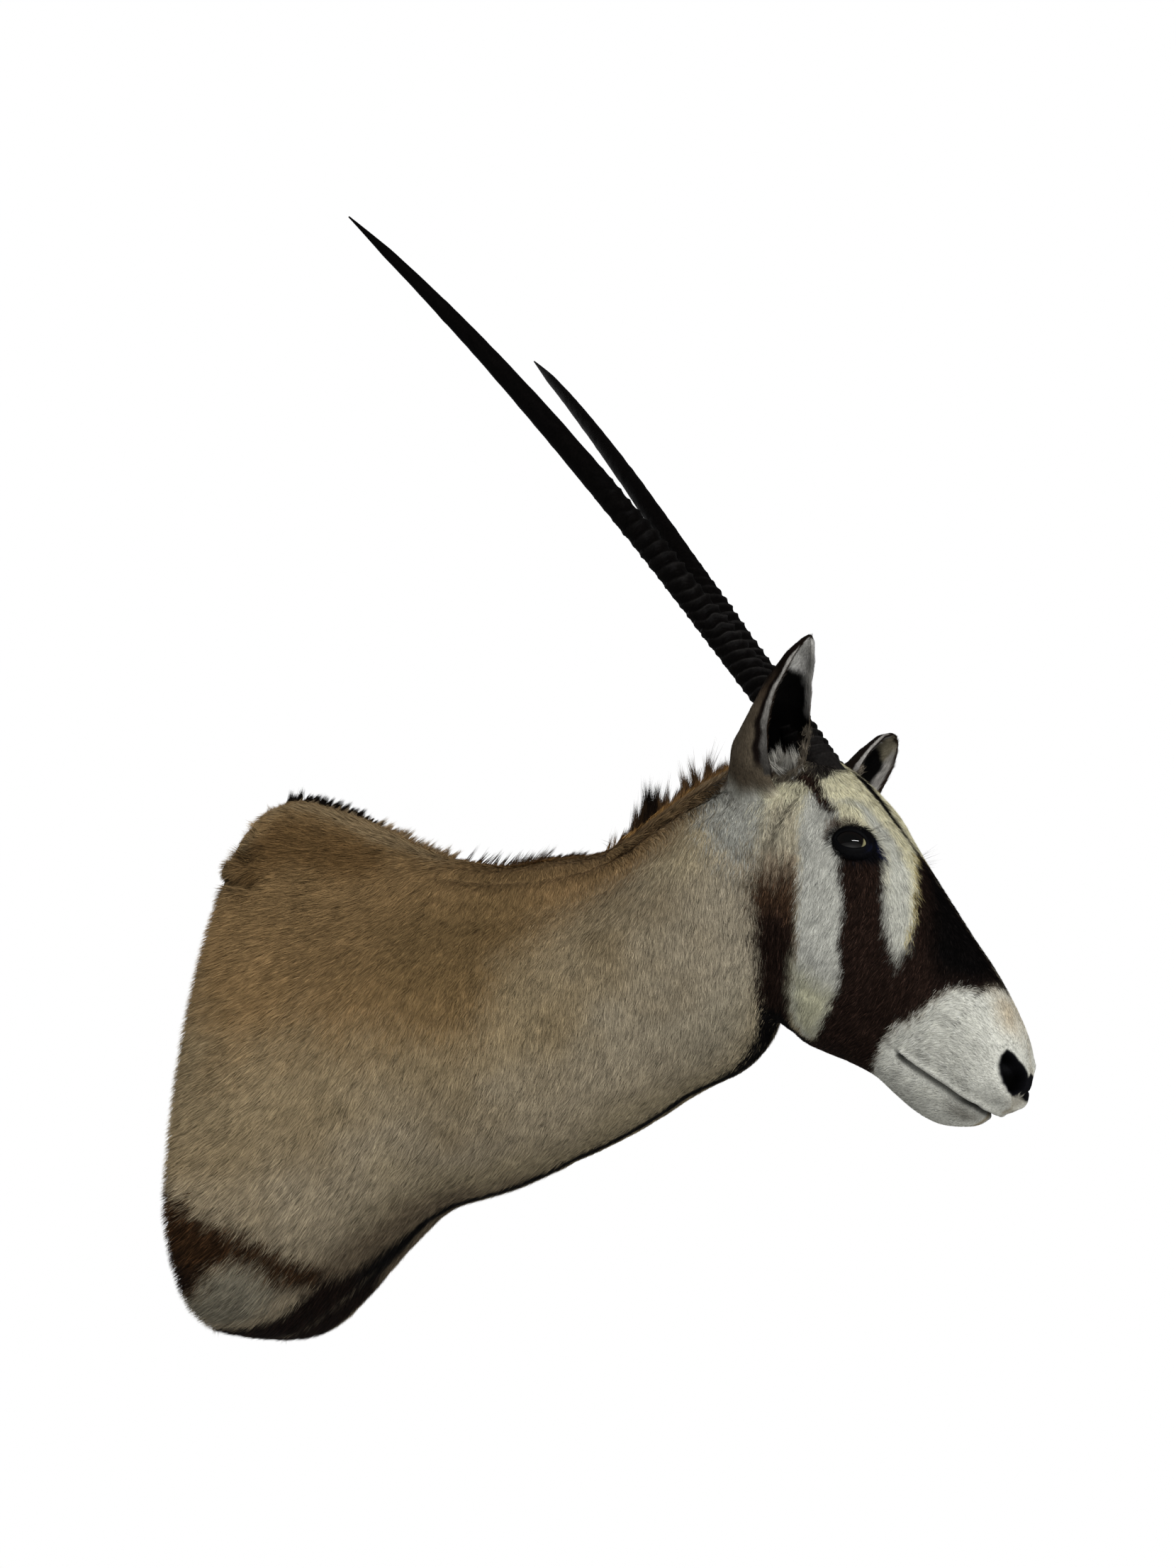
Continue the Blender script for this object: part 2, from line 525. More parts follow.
# Markings as closed outlines of (place, fold), the lowest first: colour, how strong, softness of
# the edge in metres, outline.
MARKINGS = [
    # ear base
    (PALE, 1.0, 0.016, [
        (10.35, 46), (10.3, 34), (10.75, 22), (11.3, 10), (11.9, 4), (12.35, 8), (12.6, 20),
        (12.9, 36), (12.2, 50), (11.3, 56)]),
    # cream head
    (CREAM * (1.22, 1.24, 1.17), 1.0, 0.020, [
        (12.2, 45), (12.4, 22), (12.7, 0), (13.0, -5), (14.3, -10), (16.5, -10), (18.0, 10),
        (17.5, 91), (13.2, 91), (13.0, 60)]),
    # ear root
    ((0.150, 0.125, 0.090), 1.0, 0.016, [
        (11.0, 50), (11.3, 42), (12.2, 38), (12.9, 42), (13.3, 52), (13.4, 66), (12.6, 80),
        (11.4, 76)]),
    # wrinkled tan
    ((0.54, 0.49, 0.36), 1.0, 0.012, [
        (12.5, 28), (13.3, 30), (13.75, 14), (13.7, 2), (13.2, -6), (12.4, -8), (12.3, 8)]),
    # tan above the stripe
    ((0.33, 0.255, 0.175), 1.0, 0.016, [
        (12.6, 8), (13.2, 6), (13.6, 9), (13.95, 2), (13.9, -12), (12.35, -12), (12.4, 0)]),
    # behind stripe
    ((0.050, 0.028, 0.016), 1.0, 0.012, [
        (12.22, -4), (12.45, 2), (13.0, 0), (13.5, 4), (13.9, 2), (13.95, -18), (12.2, -20)]),
    # behind stripe low
    (BROWN, 1.0, 0.010, [
        (12.42, -13), (12.24, -20), (12.16, -28), (11.95, -54), (11.78, -66), (11.45, -80),
        (14.0, -86), (13.55, -65), (13.66, -42), (13.95, -18), (13.88, -8), (13.5, -10),
        (13.0, -9)]),
    # throat
    (BLACK, 1.0, 0.008, [
        (12.0, -62), (11.6, -70), (10.53, -76), (9.63, -83), (8.9, -86), (5.0, -87), (4.9, -92),
        (16.5, -92), (14.4, -72), (13.4, -66), (13.0, -58)]),
    # cheek
    (WHITE * 0.86, 1.0, 0.006, [
        (13.5, 25), (13.68, 14), (13.95, 0), (14.12, -16), (13.92, -29), (13.72, -43),
        (13.85, -57), (14.35, -71), (15.47, -46), (15.78, -26), (15.9, -13), (15.88, -4),
        (15.7, 7), (15.25, 20), (14.95, 31), (14.3, 40), (13.6, 38)]),
    # cheek low
    ((0.50, 0.49, 0.35), 1.0, 0.030, [
        (13.95, -26), (13.8, -43), (13.9, -58), (14.65, -66), (15.4, -46), (15.7, -28)]),
    # dark face
    (BROWN, 1.0, 0.006, [
        (15.1, 22), (15.16, 13), (15.24, 9.4), (15.40, 7.2), (15.52, 4.5), (15.56, 1),
        (15.62, -4), (15.74, -10), (15.80, -18), (15.74, -24), (15.48, -35), (15.30, -46),
        (15.02, -57), (14.6, -69), (14.2, -78), (13.9, -92), (17.1, -92), (16.98, -80),
        (17.37, -48), (17.57, -32), (17.93, -20), (18.47, -8), (18.87, 1), (19.0, 8), (19.28, 18),
        (19.53, 28), (19.98, 38), (20.28, 45), (20.5, 62), (20.62, 92), (16.4, 92), (17.0, 74),
        (17.24, 60), (17.38, 51), (17.66, 31), (17.75, 22), (17.71, 17), (17.52, 17.5),
        (17.18, 19.5), (16.85, 24), (16.52, 31), (16.38, 40), (16.0, 40)]),
    # nose bridge
    (BLACK * 0.75, 1.0, 0.030, [
        (16.8, 92), (17.7, 60), (18.3, 30), (18.9, 20), (19.9, 40), (20.3, 60), (20.5, 92)]),
    # eye patch
    ((0.55, 0.55, 0.485), 1.0, 0.014, [
        (14.6, 40), (15.2, 50), (16.35, 45), (16.45, 36), (16.7, 24), (17.0, 12), (17.6, 7),
        (17.75, 20), (17.45, 38), (17.1, 56), (16.3, 66), (15.2, 60)]),
    # midline
    (BLACK, 1.0, 0.0016, [
        (13.9, 82.5), (14.6, 84), (15.3, 86.3), (16.0, 88.2), (16.7, 88.6), (16.7, 93),
        (13.9, 93)]),
    # horn base
    ((0.020, 0.017, 0.015), 1.0, 0.006, [
        (13.2, 52), (13.55, 50), (13.85, 52), (14.0, 56), (14.05, 68), (14.05, 79), (13.6, 81),
        (13.2, 70)]),
    # behind the horn
    (BROWN, 1.0, 0.006, [
        (12.9, 47), (13.25, 53), (13.7, 51), (13.8, 46), (14.05, 41.5), (14.4, 37.5), (14.75, 35),
        (14.65, 31), (14.2, 31), (13.85, 34), (13.55, 38), (13.2, 41), (12.95, 43)]),
    # behind the eye
    ((0.11, 0.080, 0.058), 1.0, 0.007, [
        (14.45, 24), (14.6, 28), (14.95, 32), (15.35, 39), (15.52, 39), (15.1, 30), (14.85, 25),
        (14.62, 20)]),
    # muzzle
    (WHITE * 1.08, 1.0, 0.006, [
        (17.0, -92), (17.0, -80), (17.4, -48), (17.6, -32), (17.96, -20), (18.5, -8), (18.9, 1),
        (19.03, 8), (19.31, 18), (19.56, 28), (20.01, 38), (20.31, 45), (20.53, 62), (20.65, 92),
        (26, 92), (26, -92)]),
    # muzzle stain
    ((0.54, 0.46, 0.33), 1.0, 0.030, [
        (20.7, 60), (20.9, 88), (21.5, 86), (21.85, 64), (21.5, 46), (21.0, 50)]),
    # muzzle shade
    ((0.275, 0.265, 0.228), 1.0, 0.024, [
        (20.6, -44), (21.3, -40), (22.0, -50), (22.6, -62), (22.4, -72), (21.6, -66), (20.9, -56)]),
    # brisket
    (BLACK, 1.0, 0.016, [
        (4.6, -88), (4.3, -83), (3.9, -81), (3.45, -79), (2.78, -76), (2.25, -75), (1.6, -76),
        (1.2, -92), (4.6, -92)]),
    # corner
    ((0.027, 0.0132, 0.0056), 1.0, 0.012, [
        (-0.5, -15), (1.0, -19), (1.42, -23), (1.87, -30), (2.37, -38), (2.75, -46), (3.1, -58),
        (3.4, -68), (3.2, -73), (2.7, -64), (2.48, -53), (2.25, -46), (1.85, -44), (1.68, -47),
        (1.3, -55), (0.9, -53), (-0.5, -50)]),
    # corner black
    ((0.010, 0.006, 0.004), 1.0, 0.020, [
        (-0.5, -32), (1.1, -36), (1.5, -44), (1.2, -52), (0.9, -52), (-0.5, -50)]),
    # pale brisket
    ((0.26, 0.235, 0.172), 1.0, 0.012, [
        (1.68, -47), (2.2, -47), (2.48, -55), (2.58, -63), (2.3, -69), (1.4, -71), (0.9, -62),
        (-0.5, -58), (-0.5, -52), (0.9, -54), (1.35, -56)]),
    # bottom
    ((0.0088, 0.0047, 0.0033), 1.0, 0.014, [
        (-0.5, -72), (0.9, -74), (2.2, -76), (2.8, -72), (3.3, -70), (3.6, -80), (3.6, -92),
        (-0.5, -92)]),
    # eye black
    (SKIN_BLACK * 0.7, 1.0, 0.004, [
        (14.66, 20), (14.90, 24), (15.08, 29.2), (15.43, 38), (15.72, 47.2), (15.98, 46.5),
        (16.20, 44.6), (16.42, 42), (16.25, 36), (16.05, 30), (15.73, 22.4), (15.43, 18.8),
        (15.15, 16.8), (14.90, 18)]),
    # eye blue
    ((0.006, 0.009, 0.036), 0.8, 0.005, [
        (15.93, 46.5), (16.20, 44.8), (16.44, 42), (16.28, 38.5), (16.05, 41), (15.90, 44)]),
]
# Soft patches under them, in the same form.
PATCHES = [
    ((0.50, 0.42, 0.265), 0.75, 0.055, [
        (9.2, 20), (9.1, 36), (9.8, 41), (10.8, 34), (11.1, 24), (10.3, 15)]),
    ((0.30, 0.265, 0.190), 0.70, 0.055, [
        (9.5, -43), (10.6, -36), (11.5, -34), (11.5, -48), (10.6, -60), (9.5, -64)]),
    (OCHRE, 0.68, 0.080, [
        (-0.5, 8), (0.63, 6), (1.7, 0), (3.15, 0), (4.18, -6), (5.12, -8), (5.93, -8), (6.58, 5),
        (7.0, 24), (7.6, 34), (8.68, 40), (9.6, 43), (10.6, 60), (11.2, 92), (-0.5, 92)]),
    ((0.12, 0.085, 0.055), 0.70, 0.050, [
        (2.9, -64), (3.6, -60), (4.6, -67), (5.6, -76), (6.6, -84), (6.6, -92), (2.6, -92)]),
    ((0.175, 0.116, 0.049), 0.55, 0.075, [
        (4.4, 34), (5.2, 44), (6.3, 53), (7.0, 52), (6.9, 30), (6.6, 8), (6.0, -4), (5.2, -4),
        (4.6, 11)]),
    ((0.130, 0.070, 0.024), 0.70, 0.045, [
        (0.7, 44), (1.2, 55), (1.9, 62), (3.0, 64), (4.2, 62), (4.4, 52), (3.6, 46), (2.8, 41),
        (2.1, 37), (1.2, 38)]),
    ((0.335, 0.215, 0.098), 0.75, 0.030, [
        (6.9, 46), (7.6, 44), (8.6, 45), (9.5, 46), (10.3, 52), (10.3, 60), (9.4, 58), (8.6, 58),
        (7.6, 60), (6.9, 60)]),
    ((0.330, 0.255, 0.150), 0.60, 0.020, [
        (1.6, 73), (2.4, 71), (3.6, 71), (4.6, 71), (5.3, 74), (5.3, 86), (4.0, 84), (2.4, 86)]),
    ((0.045, 0.026, 0.013), 0.80, 0.010, [
        (8.3, 58), (9.0, 54), (9.8, 50), (10.6, 47), (11.1, 48), (11.1, 54), (10.4, 54),
        (9.6, 57), (8.9, 62)]),
]
# The yellowed hair along the front edge of the pale patch over the eye.
YELLOWED = [(16.75, 84), (17.22, 60), (17.37, 51), (17.65, 31), (17.74, 22), (17.71, 17)]


def coat(place, fold, local, wander=0.0):
    """The coat's colour at spots of the hide, each moved at random by about wander metres."""
    spots = chart(place, fold)
    if wander:
        spots = spots + RANDOM.normal(0, 1, spots.shape) * wander * np.interp(
            place, (3, 5, 12, 14), (1.2, 2.0, 2.2, 1.0))[..., None]
        spots = spots + 1.3 * wander * np.stack([noise(local, 0.005, 21), noise(local, 0.005, 22)],
                                                axis=-1)
    patches = noise(local, 0.055, 2) + 0.5 * noise(local, 0.022, 3)
    colour = np.broadcast_to(TAN, (*place.shape, 3)).copy()
    colour = mixed(colour, GREY_TAN, smoothstep((place - 6 + patches) / 6))
    colour = mixed(colour, GREY_TAN, 0.6 * smoothstep((-fold - 10 + 12 * patches) / 40))
    olive = smoothstep((-fold - 42 + 14 * patches) / 34) * smoothstep((place - 2.5) / 2)
    colour = mixed(colour, (0.30, 0.245, 0.145), 0.65 * olive)
    for layers, ragged in ((PATCHES, 0.018), (MARKINGS, 0)):
        for tint, share, soft, outline in layers:
            deep = line_distance(outline, spots, True) + ragged * patches
            colour = mixed(colour, tint, share * smoothstep(0.5 + deep / soft))
    colour = mixed(colour, (0.42, 0.33, 0.10), 0.75 * bell(line_distance(YELLOWED, spots) / 0.0016))
    under = smoothstep((-fold - 84.5) / 3) * smoothstep((14 - place) / 2) * smoothstep(place - 3)
    colour = mixed(colour, BLACK, under)
    for line, deep, wide in CREASES:
        away = line_distance(line, spots)
        shade = 0.35 + 0.4 * (deep > 0.002)
        colour = scaled(colour, 1 - shade * bell(away / wide / 0.8))
    return scaled(colour, 1 + 0.10 * patches)


# Which way the hair lies, as (place, fold, ahead, up) in the animal's plane of symmetry.
FLOW = np.array([
    (0, 85, -0.9, -0.2), (3, 85, -0.95, -0.1), (1, 45, -0.9, -0.35), (3, 45, -0.85, -0.45),
    (1, 5, -0.75, -0.6), (3, 5, -0.7, -0.7), (5, 30, -0.35, -0.9), (5, -5, -0.4, -0.9),
    (1, -40, -0.8, -0.5), (3, -40, -0.75, -0.6), (5, -40, -0.5, -0.85), (7, 30, -0.1, -1),
    (7, 0, -0.2, -1), (7, -40, -0.35, -0.9), (9, 25, -0.05, -1), (9, -30, -0.15, -1),
    (11, 15, 0, -1), (11, -40, -0.15, -1), (1, -85, -1, -0.1), (4, -85, -1, -0.4),
    (8, -85, -0.9, -0.5), (11, -85, -0.9, -0.6), (5, 85, -0.5, -0.5), (7.5, 85, 0.5, -0.5),
    (6.5, 62, -0.1, -0.8), (9, 75, 0.6, 0.8), (10.5, 75, 0.5, 0.9), (11, 50, 0, -0.6),
    (12.5, 85, -0.9, 0.2), (14, 88, 0.5, -0.7), (15, 70, 0.5, -0.8), (15, 50, 0.3, -0.9),
    (16.8, 60, 0.4, -0.9), (17, 38, 0.35, -0.95), (18.5, 80, 0.4, -0.9), (19.5, 50, 0.2, -0.7),
    (18.5, 20, -0.4, -0.7), (20.5, 20, -0.55, 0.6), (22, 60, -0.4, 0.9), (21, -20, -0.8, 0.3),
    (19, -50, -0.8, 0.0), (17, 0, -0.6, -0.7), (16, -40, -0.8, -0.5), (14.7, -15, -0.55, -0.8),
    (14.6, 20, -0.4, -0.9), (13.2, -25, -0.35, -0.95), (13, 10, -0.2, -1), (13.5, -80, -0.9, -0.3)])


def heading(spot):
    """The hair's direction in the world at scattered spots of the hide."""
    here = chart(spot["place"], spot["fold"])
    anchors = chart(FLOW[:, 0], FLOW[:, 1])
    away = ((here[:, None, :] - anchors[None]) ** 2).sum(axis=-1)
    reach = np.interp(FLOW[:, 0], (11, 14), (0.060, 0.026))
    weight = np.exp(-away / (2 * reach ** 2)) + 1e-9
    mean = weight @ FLOW[:, 2:] / weight.sum(axis=1, keepdims=True)
    turn = section_turn(spot["place"])
    way = np.column_stack([-mean[:, 0] * np.sin(turn), -mean[:, 0] * np.cos(turn), mean[:, 1]])
    return unit(tangent(way, spot["normal"]))


# ---------------------------------------------------------------- meshes and materials


def band(first, second):
    """Faces between two rows of numbered points."""
    return np.stack([first[:-1], first[1:], second[1:], second[:-1]], axis=-1)


def fan(ring, middle):
    """Faces between a closed ring of numbered points and one point."""
    return np.stack([ring, np.roll(ring, -1), np.full(len(ring), middle)], axis=-1)


def mesh_object(name, points, faces, finish, colours, smooth=True):
    """A mesh from points, their colours and one or more arrays of faces, put into a slot."""
    groups = faces if isinstance(faces, list) else [faces]
    lengths = np.concatenate([np.full(len(group), group.shape[1]) for group in groups])
    loops = np.concatenate([group.ravel() for group in groups]).astype(np.int32)
    mesh = bpy.data.meshes.new(name)
    mesh.vertices.add(len(points))
    mesh.vertices.foreach_set("co", np.ascontiguousarray(points, np.float32).ravel())
    mesh.loops.add(len(loops))
    mesh.loops.foreach_set("vertex_index", loops)
    mesh.polygons.add(len(lengths))
    starts = np.r_[0, np.cumsum(lengths)[:-1]].astype(np.int32)
    mesh.polygons.foreach_set("loop_start", starts)
    mesh.update(calc_edges=True)
    mesh.polygons.foreach_set("use_smooth", np.full(len(lengths), smooth))
    layer = mesh.color_attributes.new("coat", "FLOAT_COLOR", "POINT")
    rgba = np.column_stack([np.clip(colours, 0, 1), np.ones(len(points))]).astype(np.float32)
    layer.data.foreach_set("color", rgba.ravel())
    mesh.materials.append(finish)
    made = bpy.data.objects.new(name, mesh)
    bpy.context.scene.collection.objects.link(made)
    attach(made, "root")
    return made


WALL_GAP = -0.0004                         # no hair goes farther back than this


def hairs(name, spot, way, length, width, lift, root_colour, tip_colour, segments=1, spin=0.35):
    """Pointed blades of hair, each with its own cell of the bake map.

    Lift is the angle off the skin and spin the spread of the blades' turns about their own way.
    """
    count = len(length)
    way = unit(tangent(way, spot["normal"]))
    across = unit(np.cross(spot["normal"], way))
    roll = RANDOM.normal(0, spin, count)[:, None]
    flat = across * np.cos(roll) + spot["normal"] * np.sin(roll)
    rise = lift[:, None]
    along = way * np.cos(rise) + spot["normal"] * np.sin(rise)
    points, tints, places = [], [], []
    for step in range(segments + 1):
        part = step / segments
        middle = spot["point"] + scaled(along, length * part)
        middle[:, 1] = np.minimum(middle[:, 1], WALL_GAP)
        half = scaled(flat, width * (1 - part ** 1.5) / 2)
        tint = mixed(root_colour, tip_colour, np.full(count, part))
        if step < segments:
            points += [middle - half, middle + half]
            tints += [tint, tint]
            places += [(0.15, 0.1 + 0.8 * part), (0.85, 0.1 + 0.8 * part)]
        else:
            points.append(middle)
            tints.append(tint)
            places.append((0.5, 0.9))
    corners = len(points)
    pattern = [(2 * step, 2 * step + 1, 2 * step + 3, 2 * step + 2) for step in range(segments - 1)]
    faces = [(a, b, c) for a, b, c, d in pattern] + [(a, c, d) for a, b, c, d in pattern]
    faces.append((corners - 3, corners - 2, corners - 1))
    index = np.arange(count)[:, None] * corners
    triangles = np.concatenate([index + np.array(face) for face in faces])
    made = mesh_object(name, np.stack(points, axis=1).reshape(-1, 3), triangles, HAIR,
                       np.stack(tints, axis=1).reshape(-1, 3), False)
    cells = math.ceil(math.sqrt(count))
    column, row = np.arange(count) % cells, np.arange(count) // cells
    places = (np.stack([column, row], axis=-1)[:, None, :] + np.array(places)) / cells
    layer = made.data.uv_layers.new(name="OFBake")
    corners_at = places.reshape(-1, 2)[triangles.ravel()]
    layer.data.foreach_set("uv", corners_at.astype(np.float32).ravel())


def random_flat(ways):
    """A way across each hair, turned at random about it."""
    return unit(np.cross(ways, RANDOM.normal(0, 1, ways.shape)))


def tuft_hairs(name, roots, ways, lengths, width, dark, light):
    """Long hairs that stand free of the skin."""
    spot = {"point": roots, "normal": random_flat(ways)}
    hairs(name, spot, ways, lengths, np.full(len(lengths), width), np.zeros(len(lengths)), dark,
          light, segments=2, spin=1.5)


def shader_material(name, roughness, **sockets):
    """A new material with its node tree and shader; sockets are named with _ for a space."""
    made = bpy.data.materials.new(name)
    made.use_nodes = True
    shader = made.node_tree.nodes["Principled BSDF"]
    shader.inputs["Roughness"].default_value = roughness
    for socket, value in sockets.items():
        shader.inputs[socket.replace("_", " ")].default_value = value
    return made, made.node_tree, shader


def add_node(tree, kind, links=(), **settings):
    """A node with its settings; sockets are set by number as n0=..., n1=..., or linked."""
    node = tree.nodes.new(kind)
    for key, value in settings.items():
        if key[0] == "n" and key[1:].isdigit():
            node.inputs[int(key[1:])].default_value = value
        else:
            setattr(node, key, value)
    for number, source in links:
        tree.links.new(source, node.inputs[number])
    return node


def object_noise(tree, scale, detail=4.0, stretch=None):
    """Noise over the object's own coordinates."""
    coordinates = add_node(tree, "ShaderNodeTexCoord").outputs["Object"]
    if stretch:
        coordinates = add_node(tree, "ShaderNodeMapping", [(0, coordinates)], n3=stretch).outputs[0]
    node = add_node(tree, "ShaderNodeTexNoise", [(0, coordinates)])
    node.inputs["Scale"].default_value = scale
    node.inputs["Detail"].default_value = detail
    return node.outputs["Fac"]


def varied(tree, colour, factor, low, high):
    """Multiplies a colour by a value from low to high, by the factor."""
    value = add_node(tree, "ShaderNodeMapRange", [(0, factor)], n1=0.3, n2=0.7, n3=low, n4=high)
    node = add_node(tree, "ShaderNodeVectorMath", [(0, colour)], operation="SCALE")
    tree.links.new(value.outputs[0], node.inputs["Scale"])
    return node.outputs[0]


def bumped(tree, shader, height, strength, distance):
    """Gives a shader a bump from a height."""
    node = add_node(tree, "ShaderNodeBump")
    node.inputs["Strength"].default_value = strength
    node.inputs["Distance"].default_value = distance
    tree.links.new(height, node.inputs["Height"])
    tree.links.new(node.outputs[0], shader.inputs["Normal"])


def coat_material(name, roughness, scale, low, high, bump, **sockets):
    """A finish that shows a mesh's coat colours, varied by fine grain."""
    made, tree, shader = shader_material(name, roughness, **sockets)
    tint = add_node(tree, "ShaderNodeAttribute", attribute_name="coat").outputs["Color"]
    grain = object_noise(tree, scale)
    tree.links.new(varied(tree, tint, grain, low, high), shader.inputs["Base Color"])
    if bump:
        bumped(tree, shader, grain, 0.6, bump)
    return made


SKIN = coat_material("hide under the hair", 0.85, 700.0, 0.75, 1.2, 0.0006, Specular_IOR_Level=0.05)
HAIR = coat_material("hair", 0.7, 90.0, 0.86, 1.12, 0.0, Specular_IOR_Level=0.06)
BARE = coat_material("bare skin", 0.55, 900.0, 0.8, 1.3, 0.0003, Specular_IOR_Level=0.08)

# ---------------------------------------------------------------- the hide and its short hair


LIP_WIDTH = [(0, 0.0030), (0.5, 0.0032), (0.8, 0.0044)]
# The rear, where the skin is turned in over the form's edge: share of the width, y.
TURNED_IN = [(0.93, -0.0015), (0.80, -0.0010)]


def build_hide():
    """The skin as a mesh, and its surface with what the hair has to keep clear of."""
    hide = hide_surface()
    columns = hide.points.shape[1]
    mirrored = mirrored_of(hide.local)
    hide.around_eye = eye_ring(mirrored)
    colour = mixed(coat(hide.place, hide.fold, hide.local), SKIN_BLACK, hide.eye)
    away, where = space_distance(MOUTH, mirrored)
    lips = bell(away / between(LIP_WIDTH, where))
    lips = lips * smoothstep((where + 0.01) / 0.03)
    colour = mixed(colour, SKIN_BLACK * 0.6, lips)
    rim = smoothstep(1 + nostril_depth(mirrored) / 0.0022)
    septum = np.linalg.norm((hide.local - SEPTUM) / (0.0085, 0.02, 0.0105), axis=-1)
    rim = np.maximum(rim, smoothstep((1.15 - septum) / 0.3))
    colour = mixed(mixed(colour, SKIN_BLACK * 0.9, rim), BLACK * 0.2, hide.nostril)
    sheen = np.linalg.norm((mirrored - (0.0190, 0.782, -0.0465)) / (0.011, 0.012, 0.0045), axis=-1)
    colour = mixed(colour, (0.012, 0.012, 0.014), 0.8 * bell(sheen) * hide.nostril)
    hide.colour, hide.lips, hide.rim = colour, lips, rim
    middle = hide.points[0].mean(axis=0)
    rear = []
    for share, y in TURNED_IN:
        ring = middle + (hide.points[0] - middle) * share
        ring[:, 1] = y
        rear.append(ring)
    points = np.vstack([hide.points.reshape(-1, 3)] + rear + [hide.points[-1].mean(axis=0)[None]])
    tints = colour.reshape(-1, 3)
    tints = np.vstack([tints, np.tile(UMBER, (2 * columns, 1)), tints[-1:]])
    ring = np.arange(columns)
    closed = np.r_[ring, 0]
    base = hide.place.size
    quads = np.vstack([hide.faces(), band(base + closed, closed),
                       band(base + columns + closed, base + closed)])
    made = mesh_object("hide_skin", points, [quads, fan(base - columns + ring, len(points) - 1)],
                       SKIN, tints)
    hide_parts("cape")
    return hide


COAT_LENGTH = [(0, 0.014), (4, 0.013), (7, 0.010), (11, 0.009), (13, 0.009), (15, 0.0065),
               (18, 0.0060), (20, 0.0045), (22, 0.0026), (25, 0.0016)]
COAT_WIDTH = [(0, 0.0008), (7, 0.0006), (12, 0.0006), (15, 0.0005), (20, 0.0004), (25, 0.00025)]
COAT_HAIRS = 195_000                       # in each of the four coats
WALL_EDGE, LIPS_EDGE = 0.15, 0.02          # where the hair begins and ends, in places
BODY_END, HEAD_FROM = 12.5, 12.3           # the places where the body's and the head's coats meet


def fur(name, hide, density, lift, wander, contrast):
    """One coat of short hair, lying and coloured as the hide has it."""
    count = int(COAT_HAIRS * QUICK)
    spot = hide.scattered(count, density)
    way = heading(spot) + RANDOM.normal(0, 1, (count, 3)) * 0.16
    clump = noise(spot["point"], 0.006, 5)
    way += scaled(unit(np.cross(spot["normal"], way)), 0.22 * clump)
    way[:, 1] *= 0.1 + 0.9 * smoothstep(spot["place"] / 0.8)
    mirrored = mirrored_of(spot["local"])
    near = bell((eye_ring(mirrored) - 1) / 0.45)
    way += scaled(unit(spot["point"] - placed(EYE_MIDDLE * sided(spot["side"]))), 1.6 * near)
    across = unit(np.cross(spot["normal"], way))
    streaks = noise(np.column_stack([(spot["point"] * across).sum(axis=1) / 0.0020,
                                     (spot["point"] * unit(way)).sum(axis=1) / 0.011,
                                     spot["place"]]), 1.0, 6)
    size = between(COAT_LENGTH, spot["place"]) * RANDOM.uniform(0.7, 1.25, count)
    size *= 0.45 + 0.55 * smoothstep(spot["place"] / 0.9)
    size *= 1 - 0.45 * smoothstep((-spot["fold"] - 55) / 20) * (spot["place"] > 7)
    mouth, _ = space_distance(MOUTH, mirrored)
    size *= np.clip((mouth - 0.002) / 0.009, 0.15, 1)
    colour = coat(spot["place"], spot["fold"], spot["local"], wander)
    dark = smoothstep((0.07 - colour.mean(axis=1)) / 0.05)
    shade = 1 + (contrast * RANDOM.normal(0, 1, count) + 0.22 * streaks) * (1 + 1.3 * dark)
    shade = shade + 0.13 * clump - 0.5 * smoothstep((-0.52 - streaks) / 0.1)
    colour = scaled(colour, np.clip(shade, 0.2, 1.6 + 0.9 * dark))
    colour = scaled(colour, 1 + 2.2 * dark * (RANDOM.random(count) < 0.15))
    rise = np.abs(RANDOM.normal(lift, 0.5 * lift, count)) + 0.04
    fuzz = np.exp(-((spot["place"] - 1.3) / 0.8) ** 2 - ((spot["fold"] - 58) / 13) ** 2)
    rise = rise + 0.55 * fuzz * RANDOM.random(count)
    colour = scaled(colour, 1 + 0.5 * fuzz * RANDOM.random(count))
    rise *= 0.25 + 0.75 * smoothstep(spot["place"] / 1.2)
    hairs(name, spot, way, size, between(COAT_WIDTH, spot["place"]), rise, colour * 0.8,
          colour * 1.08)


hide = build_hide()
open_skin = (1 - hide.nostril) * smoothstep((hide.around_eye - 0.93) / 0.08)
open_skin *= 1 - smoothstep((hide.lips - 0.2) * 3)
open_skin *= 1 - smoothstep((hide.rim - 0.05) * 3)
body_part = open_skin * (hide.place < BODY_END) * smoothstep(hide.place / WALL_EDGE)
for number in range(3):
    fur(f"coat_body_{number + 1}", hide, body_part, 0.14, 0.004, 0.30)
head_part = open_skin * (hide.place >= HEAD_FROM)
head_part = head_part * smoothstep((LAST - LIPS_EDGE - hide.place) / 0.15)
fur("coat_head", hide, head_part, 0.13, 0.0022, 0.22)

# ---------------------------------------------------------------- eyes


LID_PLACES = np.linspace(13.4, 17.4, 130)
LID_FOLDS = np.linspace(-5, 75, 130)


def lid_chart():
    """The drawn skin about the eye: its offsets from the eye, its points and their places."""
    local = hide_points(LID_PLACES, np.radians(LID_FOLDS))
    mirrored = mirrored_of(local)
    ahead, above = eye_offsets(mirrored)
    spots = np.stack(np.meshgrid(LID_PLACES, LID_FOLDS, indexing="ij"), axis=-1)
    return (np.stack([ahead, above], axis=-1).reshape(-1, 2), mirrored.reshape(-1, 3),
            spots.reshape(-1, 2))


